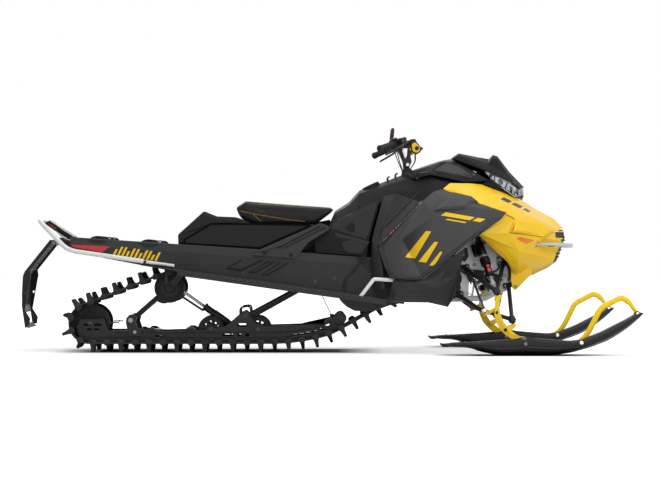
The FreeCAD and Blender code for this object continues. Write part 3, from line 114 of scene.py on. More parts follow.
def lathe(profile, origin, axis, segments):
    # a solid of revolution
    profile = np.array(profile, float)
    if profile[0, 1] > 0:              # a ring's inner wall, or an end closed at the axis
        pole = [[(profile[0, 0], 0)]] if profile[-1, 1] <= 0 else []
        profile = np.vstack([profile, *pole, profile[:1]])
    elif profile[-1, 1] > 0:
        profile = np.vstack([profile, [(profile[-1, 0], 0)]])
    return surface(spun(profile, origin, axis, segments))


def ring(profile, origin, axis, segments):
    # a closed profile of (distance, radius) points turned about the axis: a ring with no middle
    return surface(spun(profile, origin, axis, segments), looped=True)


def rod(a, b, radius, segments=16, soft=1.0):
    # a round bar from a to b whose two edges are chamfered by soft
    a, b = np.asarray(a, float), np.asarray(b, float)
    length = np.linalg.norm(b - a)
    soft = min(soft, radius * 0.5, length * 0.3)
    profile = [(0, 0), (0, radius - soft), (soft, radius), (length - soft, radius), (length, radius - soft),
               (length, 0)]
    return lathe(profile, a, b - a, segments)


def rounded(points, bend, steps):
    # straight runs whose corners are parabola arcs: p(t) = (1-t)^2 a + 2t(1-t) corner + t^2 b
    points = [np.asarray(p, float) for p in points]
    path = [points[0][None]]
    t = np.linspace(0, 1, steps)[:, None]
    for before, here, after in zip(points, points[1:], points[2:]):
        back, ahead = before - here, after - here
        reach = min(bend, 0.48 * np.linalg.norm(back), 0.48 * np.linalg.norm(ahead))
        a, b = here + unit(back) * reach, here + unit(ahead) * reach
        path.append((1 - t) ** 2 * a + 2 * t * (1 - t) * here + t * t * b)
    return np.vstack(path + [points[-1][None]])


def smoothPath(points, steps):
    # Catmull-Rom curve through the points
    p = np.array(points, float)
    p = np.vstack([2 * p[0] - p[1], p, 2 * p[-1] - p[-2]])
    t = np.linspace(0, 1, steps, endpoint=False)[:, None]
    runs = [0.5 * (2 * b + (c - a) * t + (2 * a - 5 * b + 4 * c - d) * t ** 2
                   + (3 * b - a - 3 * c + d) * t ** 3)
            for a, b, c, d in zip(p, p[1:], p[2:], p[3:])]
    return np.vstack(runs + [p[-2][None]])


def frames(path, hint):
    # forward, side and top directions at each point of a path, turned as little as the path allows
    forward = np.gradient(path, axis=0)
    forward /= np.linalg.norm(forward, axis=1)[:, None]
    side = np.cross(forward[0], hint) if hint is not None else squareTo(forward[0])[0]
    sides = []
    for f in forward:
        side = unit(side - f * (side @ f))
        sides.append(side)
    sides = np.array(sides)
    return forward, sides, np.cross(sides, forward)


def carried(profile, path, scale=(1, 1), hint=None):
    # a closed flat profile (side, top) carried along a path and scaled at each of its points
    path = np.asarray(path, float)
    _, sides, tops = frames(path, hint)
    profile = np.asarray(profile, float)
    scale = np.broadcast_to(np.array(scale, float), (len(path), 2))
    points = (path[:, None] + sides[:, None] * (profile[None, :, :1] * scale[:, None, :1])
              + tops[:, None] * (profile[None, :, 1:] * scale[:, None, 1:]))
    return surface(points, capped=True)


def circle(count):                     # points on a circle of radius 1
    t = np.linspace(0, 2 * math.pi, count, endpoint=False)
    return np.stack([np.cos(t), np.sin(t)], axis=1)


def tube(path, radius, sides):
    # a circle of that radius, or of one radius per path point, carried along the path
    radius = np.broadcast_to(np.asarray(radius, float), (len(path),))
    return carried(circle(sides), path, np.stack([radius, radius], axis=1))


def slab(outline, low, high):
    # a flat (x, z) outline made solid from y = low to y = high
    outline = np.asarray(outline, float)
    return surface(np.stack([np.insert(outline, 1, level, axis=1) for level in (low, high)]), capped=True)


def lineBand(path, width):
    # a strip of the given width along a flat open path, as one outline
    path = np.asarray(path, float)
    run = np.gradient(path, axis=0)
    normal = np.stack([-run[:, 1], run[:, 0]], axis=1) / np.linalg.norm(run, axis=1)[:, None] * width / 2
    return np.vstack([path + normal, (path - normal)[::-1]])


def ribbon(path, thick, low, high):    # such a strip made solid from low to high
    return slab(lineBand(path, thick), low, high)


def box(low, high):
    return slab([(low[0], low[2]), (high[0], low[2]), (high[0], high[2]), (low[0], high[2])], low[1], high[1])


def moved(shape, offset):
    return shape[0] + np.asarray(offset, float), shape[1]


def turned(shape, origin, axis, degrees):
    # Rodrigues' rotation of every point about an axis through origin
    k, a = unit(axis), math.radians(degrees)
    p = shape[0] - np.asarray(origin, float)
    p = p * math.cos(a) + np.cross(k, p) * math.sin(a) + k * (p @ k)[:, None] * (1 - math.cos(a))
    return p + np.asarray(origin, float), shape[1]


def mirroredShape(shape):
    return shape[0] * np.array([1, -1, 1.0]), [block[:, ::-1] for block in shape[1]]


def bothSides(shapes):
    return list(shapes) + [mirroredShape(s) for s in shapes]


def pairedAt(y, shapes):               # shapes given about y = 0 and their mirror images, set about this y
    return [moved(shape, (0, y, 0)) for shape in bothSides(shapes)]


def leaned(outline, levels):
    # a flat (x, z) outline made solid between two sets of y, with one y for each of its corners
    points = [np.insert(np.asarray(outline, float), 1, level, axis=1) for level in levels]
    return surface(np.stack(points), capped=True)


def boltHead(at, axis, radius, height):
    # washer and six-sided head with a sunk middle, standing on its seat
    axis = unit(axis)
    at = np.asarray(at, float)
    washer = lathe([(-1, 0), (-1, radius * 1.45), (1.2, radius * 1.45), (1.2, 0)], at, axis, 18)
    head = lathe([(1, 0), (1, radius), (height, radius), (height + 1, radius * 0.8),
                  (height + 0.6, radius * 0.4), (height - 1, radius * 0.35), (height - 1, 0)], at, axis, 6)
    return merged([washer, head])


def tidyMesh(mesh, crease):
    # doubles merged, faces turned outwards, and edges over the crease angle kept sharp
    work = bmesh.new()
    work.from_mesh(mesh)
    bmesh.ops.remove_doubles(work, verts=work.verts, dist=2e-6)
    bmesh.ops.recalc_face_normals(work, faces=work.faces)
    work.to_mesh(mesh)
    work.free()
    mesh.shade_smooth()
    mesh.set_sharp_from_angle(angle=math.radians(crease))


def addBevel(piece, width, segments, angle, clamp=True):
    # edges sharper than the angle rounded over the given width
    bevel = piece.modifiers.new("softEdges", "BEVEL")
    bevel.width, bevel.segments, bevel.limit_method = width * toMetres, segments, "ANGLE"
    bevel.angle_limit, bevel.harden_normals, bevel.use_clamp_overlap = math.radians(angle), True, clamp


def place(piece, body, material, replaces=()):
    # a finished piece put in the scene on its body, with its slot, its material and the nodes it stands for
    bpy.context.scene.collection.objects.link(piece)
    piece.data.materials.clear()
    piece.data.materials.append(material)
    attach(piece, body)
    if replaces:
        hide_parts(*replaces)
    return piece


def meshOf(name, shape, crease):
    points, faces = shape
    mesh = bpy.data.meshes.new(name)
    mesh.from_pydata((points * toMetres).tolist(), [], [row for block in faces for row in block.tolist()])
    tidyMesh(mesh, crease)
    return mesh


def spots(mesh):                       # a mesh's points as an n x 3 array, in metres
    flat = np.zeros(len(mesh.vertices) * 3)
    mesh.vertices.foreach_get("co", flat)
    return flat.reshape(-1, 3)


def makePiece(name, shapes, finish, replaces=(), body=chassis, bevel=0, segments=2, crease=35):
    piece = bpy.data.objects.new(name, meshOf(name, merged(shapes), crease))
    if bevel:
        addBevel(piece, bevel, segments, crease)
    return place(piece, body, materials[finish], replaces)


def nodeCopy(source, name, flat=0.6):
    # a merged copy of a CAD source's triangles, with those in one plane joined into one face
    mesh = nodes[source].data.copy()
    mesh.name = name
    work = bmesh.new()
    work.from_mesh(mesh)
    bmesh.ops.remove_doubles(work, verts=work.verts, dist=2e-5)
    bmesh.ops.dissolve_limit(work, angle_limit=math.radians(flat), verts=work.verts, edges=work.edges)
    return mesh, work


def softened(source, finish, bevel, name=None):
    # a CAD node with its sharp edges rounded
    crease = 32
    mesh, work = nodeCopy(source, name or source + "Shown")
    work.to_mesh(mesh)
    work.free()
    mesh.shade_smooth()
    mesh.set_sharp_from_angle(angle=math.radians(crease))
    piece = bpy.data.objects.new(mesh.name, mesh)
    if bevel:
        addBevel(piece, bevel, 2, crease, False)
    return place(piece, nodes[source]["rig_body"], materials[finish], [source])


def panel(source, finish, behind, fold):
    # the outer skin of a folded CAD sheet: faces that look away from a point behind them and are wider than
    # the wall. Its folds are rounded, it gets a wall of its own, and then its rim is rounded.
    wall, rim, soft = 4.0, 9.0, 7
    mesh, work = nodeCopy(source, source + "Shown", 0.4)
    behind = np.array(behind, float) * toMetres
    gone = []
    for face in work.faces:
        centre = np.array(face.calc_center_median())
        target = behind.copy()
        target[1] = np.clip(centre[1], -behind[1], behind[1])
        thin = face.calc_area() / max(e.calc_length() for e in face.edges) < rim * toMetres * 0.5
        if thin or np.dot(np.array(face.normal), centre - target) < 0:
            gone.append(face)
    bmesh.ops.delete(work, geom=gone, context="FACES")
    work.to_mesh(mesh)
    work.free()
    mesh.shade_smooth()
    piece = bpy.data.objects.new(mesh.name, mesh)
    addBevel(piece, fold, 4, soft)
    wallModifier = piece.modifiers.new("wall", "SOLIDIFY")
    wallModifier.thickness, wallModifier.offset = wall * toMetres, -1
    wallModifier.use_even_offset = False
    addBevel(piece, 1.1, 2, 60)
    return place(piece, nodes[source]["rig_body"], materials[finish], [source])


# Node groups put out masks, heights and values that change over the surface.
def newGroup(name, inputs, outputs):
    # an empty group with its sockets: v vector, f number
    group = bpy.data.node_groups.new(name, "ShaderNodeTree")
    kinds = {"v": "NodeSocketVector", "f": "NodeSocketFloat"}
    for label, kind, value in inputs:
        socket = group.interface.new_socket(name=label, in_out="INPUT", socket_type=kinds[kind])
        if value is not None:
            socket.default_value = value
    for label, kind in outputs:
        group.interface.new_socket(name=label, in_out="OUTPUT", socket_type=kinds[kind])
    return group, group.nodes.new("NodeGroupInput"), group.nodes.new("NodeGroupOutput")


def node(tree, kind, values=None, links=None, **settings):
    # a node with its settings, socket values and incoming links in one call
    made = tree.nodes.new("ShaderNode" + kind)
    for key, value in settings.items():
        setattr(made, key, value)
    for key, value in (values or {}).items():
        made.inputs[key].default_value = value
    for key, source in (links or {}).items():
        tree.links.new(source, made.inputs[key])
    return made


def maths(tree, operation, a, b=None, c=None, clamp=False):
    # one Math node; numbers are set, sockets are linked
    made = tree.nodes.new("ShaderNodeMath")
    made.operation, made.use_clamp = operation, clamp
    for i, x in enumerate((a, b, c)):
        if x is None:
            continue
        if isinstance(x, (int, float)):
            made.inputs[i].default_value = x
        else:
            tree.links.new(x, made.inputs[i])
    return made.outputs[0]


def makeGrainGroup():
    # moulded or cast skin: fine grain as a height for bump, and a slow noise for colour and gloss
    g, i, o = newGroup("mouldedGrain",
                       [("Vector", "v", None), ("Grain Scale", "f", 900.0), ("Mottle Scale", "f", 6.0)],
                       [("Height", "f"), ("Mottle", "f")])
    fine = node(g, "TexNoise", {"Detail": 3.0, "Roughness": 0.6},
                {"Vector": i.outputs[0], "Scale": i.outputs[1]})
    slow = node(g, "TexNoise", {"Detail": 5.0, "Roughness": 0.62},
                {"Vector": i.outputs[0], "Scale": i.outputs[2]})
    g.links.new(fine.outputs[0], o.inputs[0])
    g.links.new(slow.outputs[0], o.inputs[1])
    return g


def makeScuffGroup():
    # thin scratches in two directions, where a slow noise lets them show
    g, i, o = newGroup("fineScuffs", [("Vector", "v", None), ("Scale", "f", 30.0), ("Amount", "f", 0.3)],
                       [("Mask", "f")])
    masks = []
    for turn, stretch in ((0.5, (1, 1, 40)), (-0.9, (1, 1, 55))):
        twisted = node(g, "Mapping", {"Rotation": (turn, turn * 0.7, turn * 0.4), "Scale": stretch},
                       {"Vector": i.outputs[0]})
        lines = node(g, "TexNoise", {"Detail": 1.0}, {"Vector": twisted.outputs[0], "Scale": i.outputs[1]})
        masks.append(maths(g, "GREATER_THAN", lines.outputs[0], 0.68))
    where = node(g, "TexNoise", {"Scale": 5.0, "Detail": 3.0}, {"Vector": i.outputs[0]})
    visible = maths(g, "MULTIPLY_ADD", where.outputs[0], 3.0, -1.3, clamp=True)
    either = maths(g, "MAXIMUM", masks[0], masks[1])
    g.links.new(maths(g, "MULTIPLY", maths(g, "MULTIPLY", either, visible), i.outputs[2]), o.inputs[0])
    return g


def makeDustGroup():
    # dry snow dust: lies on faces that look up, thicker near the floor, broken by noise
    g, i, o = newGroup("dustFilm", [("Vector", "v", None), ("Amount", "f", 0.2), ("Top", "f", 0.8)],
                       [("Mask", "f")])
    normal = node(g, "NewGeometry")
    facing = node(g, "SeparateXYZ", None, {0: normal.outputs["Normal"]})
    height = node(g, "SeparateXYZ", None, {0: i.outputs[0]})
    low = maths(g, "SUBTRACT", 1.0, maths(g, "DIVIDE", height.outputs[2], i.outputs[2]), clamp=True)
    upward = maths(g, "MULTIPLY_ADD", facing.outputs[2], 0.5, 0.5, clamp=True)
    patches = node(g, "TexNoise", {"Scale": 14.0, "Detail": 6.0, "Roughness": 0.7}, {"Vector": i.outputs[0]})
    broken = maths(g, "MULTIPLY_ADD", patches.outputs[0], 2.2, -0.7, clamp=True)
    mask = maths(g, "MULTIPLY", maths(g, "MULTIPLY", maths(g, "POWER", upward, 2.0), broken), low)
    g.links.new(maths(g, "MULTIPLY", mask, i.outputs[1]), o.inputs[0])
    return g


def makeBandGroup():
    # one slanted bar in the side view: turned by Angle about Start, Length along and Width across, both ends
    # cut on the skew; 1 inside and 0 outside
    g, i, o = newGroup("slantedBand", [("Vector", "v", None), ("Start X", "f", 0.0), ("Start Z", "f", 0.0),
                                       ("Angle", "f", 0.0), ("Length", "f", 0.1), ("Width", "f", 0.02),
                                       ("Skew", "f", 0.0), ("Taper", "f", 0.0)], [("Mask", "f")])
    parts = node(g, "SeparateXYZ", None, {0: i.outputs[0]})
    x = maths(g, "SUBTRACT", parts.outputs[0], i.outputs[1])
    z = maths(g, "SUBTRACT", parts.outputs[2], i.outputs[2])
    sine, cosine = maths(g, "SINE", i.outputs[3]), maths(g, "COSINE", i.outputs[3])
    u = maths(g, "ADD", maths(g, "MULTIPLY", x, cosine), maths(g, "MULTIPLY", z, sine))
    v = maths(g, "SUBTRACT", maths(g, "MULTIPLY", z, cosine), maths(g, "MULTIPLY", x, sine))
    u = maths(g, "SUBTRACT", u, maths(g, "MULTIPLY", v, i.outputs[6]))
    share = maths(g, "DIVIDE", u, i.outputs[4])
    half = maths(g, "MULTIPLY", i.outputs[5],
                 maths(g, "SUBTRACT", 0.5, maths(g, "MULTIPLY", share, i.outputs[7])))
    inside = maths(g, "MULTIPLY", maths(g, "GREATER_THAN", u, 0.0), maths(g, "LESS_THAN", u, i.outputs[4]))
    near = maths(g, "LESS_THAN", maths(g, "ABSOLUTE", v), half)
    g.links.new(maths(g, "MULTIPLY", inside, near), o.inputs[0])
    return g


groups = {"grain": makeGrainGroup(), "scuffs": makeScuffGroup(), "dust": makeDustGroup(),
          "band": makeBandGroup()}


def placeGroup(tree, name, values, vector):
    # a shared group placed in a material with its own values
    made = tree.nodes.new("ShaderNodeGroup")
    made.node_tree = groups[name]
    tree.links.new(vector, made.inputs[0])
    for key, value in values.items():
        made.inputs[key].default_value = value
    return made.outputs


def blendColor(tree, mask, a, b):
    # a where the mask is 0 and b where it is 1
    mixed = tree.nodes.new("ShaderNodeMix")
    mixed.data_type = "RGBA"
    for index, x in ((6, a), (7, b)):
        if isinstance(x, tuple):
            mixed.inputs[index].default_value = (*x, 1.0)
        else:
            tree.links.new(x, mixed.inputs[index])
    tree.links.new(mask, mixed.inputs[0])
    return mixed.outputs[2]


def coated(name, color, rough, depth, metallic=0.0, coat=0.0, grain=900.0, mottle=0.12, scuffs=0.1, dust=0.0,
           dustTop=0.8, bands=(), stretch=None, sheen=0.0, specular=0.22):
    # one material: colour mottled by the grain group, with optional bands, scuffs and dust, all of them on
    # Object coordinates
    material = bpy.data.materials.new(name)
    material.use_nodes = True
    tree = material.node_tree
    shader = tree.nodes["Principled BSDF"]
    vector = node(tree, "TexCoord").outputs["Object"]
    grainVector = vector
    if stretch:
        grainVector = node(tree, "Mapping", {"Scale": stretch}, {"Vector": vector}).outputs[0]
    height, slow = placeGroup(tree, "grain", {"Grain Scale": grain, "Mottle Scale": 6.0}, grainVector)[:2]
    dark = tuple(c * (1 - mottle) for c in color)
    light = tuple(min(1.0, c * (1 + mottle)) for c in color)
    shade = blendColor(tree, slow, dark, light)
    for bandColor, listed in bands:
        for values in listed:
            keys = ("Start X", "Start Z", "Angle", "Length", "Width", "Skew", "Taper")
            mask = placeGroup(tree, "band", dict(zip(keys, values)), vector)[0]
            shade = blendColor(tree, mask, shade, bandColor)
    roughness = maths(tree, "MULTIPLY_ADD", slow, 0.22, rough - 0.11, clamp=True)
    if scuffs:
        mask = placeGroup(tree, "scuffs", {"Amount": scuffs}, vector)[0]
        shade = blendColor(tree, mask, shade, tuple(min(1.0, c * 1.6 + 0.05) for c in color))
        roughness = maths(tree, "MULTIPLY_ADD", mask, 0.2, roughness, clamp=True)
    if dust:
        mask = placeGroup(tree, "dust", {"Amount": dust, "Top": dustTop}, vector)[0]
        shade = blendColor(tree, mask, shade, (0.55, 0.56, 0.58))
        roughness = maths(tree, "MULTIPLY_ADD", mask, 0.4, roughness, clamp=True)
    tree.links.new(shade, shader.inputs["Base Color"])
    tree.links.new(roughness, shader.inputs["Roughness"])
    shader.inputs["Metallic"].default_value = metallic
    shader.inputs["Coat Weight"].default_value = coat
    shader.inputs["Coat Roughness"].default_value = 0.08
    shader.inputs["Specular IOR Level"].default_value = 0.5 if metallic > 0.3 else specular
    if sheen:
        shader.inputs["Sheen Weight"].default_value = sheen
    bump = node(tree, "Bump", {"Strength": depth, "Distance": 0.001}, {"Height": height})
    tree.links.new(bump.outputs[0], shader.inputs["Normal"])
    return material


yellow, darkGrey, ink = (0.90, 0.560, 0.012), (0.047, 0.047, 0.0493), (0.012, 0.012, 0.013)
stripes = {                            # slanted bars: start x, start z, angle, length, width, skew, taper
    "side": [(0.420, 0.492, 0.96, 0.165, 0.046, -0.5, 0.25), (0.482, 0.470, 0.96, 0.125, 0.034, -0.5, 0.25),
             (0.530, 0.452, 0.96, 0.086, 0.022, -0.5, 0.25), (0.590, 0.716, -0.17, 0.150, 0.020, 1.2, 0.0),
             (0.752, 0.688, -0.17, 0.040, 0.020, 1.2, 0.0), (0.606, 0.688, -0.17, 0.100, 0.007, 1.2, 0.0)],
    "nose": [(0.905, 0.800, -0.42, 0.050, 0.020, 0.9, 0.0), (0.966, 0.774, -0.43, 0.050, 0.019, 0.9, 0.0),
             (1.027, 0.747, -0.44, 0.036, 0.017, 0.9, 0.0)],
    "grille": [(1.2306, 0.4476, 1.147, 0.190, 0.100, 0.0, 0.0), (1.196, 0.611, 0.0, 0.07, 0.030, 0.0, 0.0)],
}
materials = {
    "graphite": coated("graphitePanel", darkGrey, 0.46, grain=1400, depth=0.12, mottle=0.07, scuffs=0.03,
                       dust=0.05, bands=[(yellow, stripes["side"])]),
    "graphitePlain": coated("graphitePlain", (0.028, 0.028, 0.0295), 0.48, grain=1400, depth=0.12,
                            mottle=0.08, scuffs=0.03, dust=0.05),
    "blackPlastic": coated("blackPlastic", (0.009, 0.009, 0.010), 0.46, grain=1100, depth=0.16, scuffs=0.05,
                           dust=0.06),
    "glossBlack": coated("glossBlack", (0.006, 0.006, 0.006), 0.32, specular=0.14, depth=0.02, scuffs=0.02),
    "yellowGloss": coated("yellowGloss", yellow, 0.34, coat=0.25, grain=500, depth=0.012, mottle=0.03,
                          scuffs=0.015, bands=[(ink, stripes["nose"])]),
    "noseLower": coated("noseLower", yellow, 0.36, coat=0.2, grain=700, depth=0.02, mottle=0.04,
                        scuffs=0.02, bands=[(ink, stripes["grille"])]),
    "yellowPlain": coated("yellowPlain", yellow, 0.38, coat=0.15, grain=700, depth=0.03, mottle=0.04,
                          scuffs=0.03),
    "yellowMetal": coated("yellowForging", (0.90, 0.60, 0.016), 0.4, coat=0.15, grain=500, depth=0.1,
                          mottle=0.05, scuffs=0.08, dust=0.08, dustTop=0.5),
    "tunnel": coated("tunnelCoat", (0.024, 0.024, 0.025), 0.42, grain=1800, depth=0.1, mottle=0.08,
                     scuffs=0.06, dust=0.06),
    # a darker copy of the tunnel coat: painted shade
    "tunnelShade": coated("tunnelShade", (0.012, 0.012, 0.013), 0.4, grain=1400, depth=0.08, mottle=0.1,
                         scuffs=0.04),
    "skiPlastic": coated("skiPlastic", (0.013, 0.013, 0.014), 0.4, depth=0.1, scuffs=0.25, dust=0.05,
                         dustTop=0.3),
    "yellowLoop": coated("yellowLoop", (0.95, 0.66, 0.02), 0.4, grain=700, depth=0.03, mottle=0.05,
                         scuffs=0.06),
    "shockBlack": coated("shockBlack", (0.006, 0.006, 0.006), 0.24, depth=0.03, mottle=0.06),
    # near black with hardly any gloss: painted shade, for the gaps in the bodywork and the seat base's edge
    # lines
    "shadeBlack": coated("shadeBlack", (0.003, 0.003, 0.003), 0.8, grain=500, depth=0.05, mottle=0.1,
                        specular=0.05),
    "consoleMid": coated("consoleMid", (0.020, 0.020, 0.021), 0.42, grain=1100, depth=0.1, mottle=0.08,
                         scuffs=0.04),
    "blue": coated("blue", (0.03, 0.25, 0.7), 0.4, grain=600, depth=0.02, mottle=0.05),
    "lampInner": coated("lampInner", (0.05, 0.05, 0.052), 0.25, metallic=0.4, coat=0.3, depth=0.02,
                        mottle=0.15),
    "lampStrip": coated("lampStrip", (0.42, 0.42, 0.42), 0.3, depth=0.01, mottle=0.04),
    "steelMid": coated("wornSteel", (0.30, 0.30, 0.295), 0.36, metallic=0.9, grain=300, depth=0.05,
                       mottle=0.15),
    "consoleSkin": coated("consoleSkin", (0.017, 0.017, 0.018), 0.55, grain=1100, depth=0.14, mottle=0.1,
                          scuffs=0.04, dust=0.03, specular=0.06),
    "rivet": coated("rivet", (0.045, 0.045, 0.047), 0.4, metallic=0.5, grain=400, depth=0.03, mottle=0.08),
    "lampSilver": coated("lampSilver", (0.40, 0.41, 0.43), 0.34, metallic=0.15, coat=0.2, depth=0.01,
                         mottle=0.1),
    "mattBlack": coated("mattBlack", (0.015, 0.015, 0.016), 0.5, grain=1000, depth=0.08, scuffs=0.04,
                        specular=0.05),
    # a lighter copy of the tunnel coat: painted highlight
    "tunnelHighlight": coated("tunnelHighlight", (0.036, 0.036, 0.038), 0.42, grain=1400, depth=0.08, mottle=0.1,
                          scuffs=0.04),
    "blackSteel": coated("blackSteel", (0.017, 0.017, 0.018), 0.36, grain=700, depth=0.08, mottle=0.15,
                         scuffs=0.08, dust=0.12, dustTop=0.5),
    "rubber": coated("trackRubber", (0.024, 0.024, 0.025), 0.72, grain=420, depth=0.35, mottle=0.25,
                     scuffs=0.12, dust=0.18, dustTop=0.6),
    "softRubber": coated("softRubber", (0.02, 0.02, 0.021), 0.62, depth=0.2, mottle=0.15, scuffs=0.04),
    "cast": coated("castGrey", (0.47, 0.48, 0.49), 0.42, metallic=0.35, grain=340, depth=0.22, mottle=0.1,
                   scuffs=0.06, dust=0.1),
    "aluminium": coated("brushedAluminium", (0.72, 0.72, 0.73), 0.3, metallic=0.95, grain=500, depth=0.06,
                        mottle=0.06, stretch=(1, 1, 12)),
    "steelDark": coated("darkSteel", (0.16, 0.16, 0.165), 0.34, metallic=0.9, grain=300, depth=0.05),
    "wheelPlastic": coated("wheelPlastic", (0.013, 0.013, 0.014), 0.5, grain=700, depth=0.12, mottle=0.15,
                           scuffs=0.06, dust=0.08, dustTop=0.5),
    "steel": coated("zincSteel", (0.66, 0.65, 0.63), 0.28, metallic=1.0, grain=300, depth=0.04, mottle=0.1),
    "chrome": coated("hardChrome", (0.85, 0.85, 0.86), 0.14, metallic=1.0, grain=200, depth=0.01,
                     mottle=0.02, scuffs=0.02),
    "white": coated("whiteCoat", (0.78, 0.78, 0.78), 0.34, coat=0.3, grain=600, depth=0.03, mottle=0.03,
                    scuffs=0.04),
    "paleGrey": coated("paleGrey", (0.55, 0.56, 0.58), 0.36, coat=0.2, grain=600, depth=0.03, mottle=0.05,
                       scuffs=0.05),
    "red": coated("redReflector", (0.55, 0.012, 0.012), 0.2, coat=0.6, grain=260, depth=0.25, mottle=0.1,
                  scuffs=0.0),
    "darkRed": coated("tailLens", (0.16, 0.008, 0.010), 0.16, coat=0.6, grain=300, depth=0.2, mottle=0.15,
                      scuffs=0.0),
    "orange": coated("orangeReflector", (0.80, 0.20, 0.02), 0.22, coat=0.6, grain=260, depth=0.25,
                     mottle=0.1, scuffs=0.0),
    "thread": coated("yellowThread", (0.42, 0.25, 0.02), 0.6, grain=2500, depth=0.3, mottle=0.2,
                     scuffs=0.0),
    "engine": coated("engineMetal", (0.10, 0.10, 0.105), 0.5, metallic=0.5, grain=260, depth=0.3,
                     mottle=0.25),
    "screen": coated("instrumentGlass", (0.015, 0.018, 0.022), 0.08, coat=0.8, grain=200, depth=0.0,
                     scuffs=0.01),
}


def makeSeatVinyl(name, color, rough):
    # grained cover: small cells from a Voronoi texture in its bump over a soft noise, sunk at the cells'
    # edges
    material = coated(name, color, rough, grain=700, depth=0.15, mottle=0.1, scuffs=0.02,
                      dust=0.02, sheen=0.05, specular=0.15)
    tree = material.node_tree
    shader = tree.nodes["Principled BSDF"]
    vector = node(tree, "TexCoord").outputs["Object"]
    cells = node(tree, "TexVoronoi", {"Scale": 420.0, "Randomness": 0.9}, {"Vector": vector},
                 feature="DISTANCE_TO_EDGE")
    raised = maths(tree, "MULTIPLY", cells.outputs[0], 6.0, clamp=True)
    bump = node(tree, "Bump", {"Strength": 0.35, "Distance": 0.0006}, {"Height": raised})
    tree.links.new(bump.outputs[0], shader.inputs["Normal"])
    return material


def makeLens(name, tint):
    # clear cover: plain transmission, with fine flutes in its bump
    material = bpy.data.materials.new(name)
    material.use_nodes = True
    tree = material.node_tree
    shader = tree.nodes["Principled BSDF"]
    for key, value in (("Transmission Weight", 1.0), ("IOR", 1.2), ("Metallic", 0.0)):
        shader.inputs[key].default_value = value
    vector = node(tree, "TexCoord").outputs["Object"]
    slow = placeGroup(tree, "grain", {"Grain Scale": 200.0, "Mottle Scale": 9.0}, vector)[1]
    tree.links.new(blendColor(tree, slow, tuple(c * 0.97 for c in tint), tint), shader.inputs["Base Color"])
    tree.links.new(maths(tree, "MULTIPLY_ADD", slow, 0.05, 0.01), shader.inputs["Roughness"])
    flutes = node(tree, "TexWave", {"Scale": 18.0, "Distortion": 0.0}, {"Vector": vector},
                  bands_direction="Y")
    bump = node(tree, "Bump", {"Strength": 0.06, "Distance": 0.001}, {"Height": flutes.outputs[0]})
    tree.links.new(bump.outputs[0], shader.inputs["Normal"])
    return material


materials["seat"] = makeSeatVinyl("seatVinyl", (0.0075, 0.0075, 0.008), 0.5)
materials["seatPad"] = makeSeatVinyl("seatPadVinyl", (0.008, 0.008, 0.0085), 0.5)
materials["seatSide"] = makeSeatVinyl("seatSideVinyl", (0.007, 0.007, 0.0075), 0.46)
materials["lens"] = makeLens("clearLens", (0.93, 0.95, 0.97))
print("materials made:", len(materials))


def seenDirectly(tree):                # 1 for what the camera sees straight, in a reflection or through glass
    rays = node(tree, "LightPath")
    direct = maths(tree, "MAXIMUM", rays.outputs["Is Camera Ray"], rays.outputs["Is Glossy Ray"])
    return maths(tree, "MAXIMUM", direct, rays.outputs["Is Transmission Ray"])


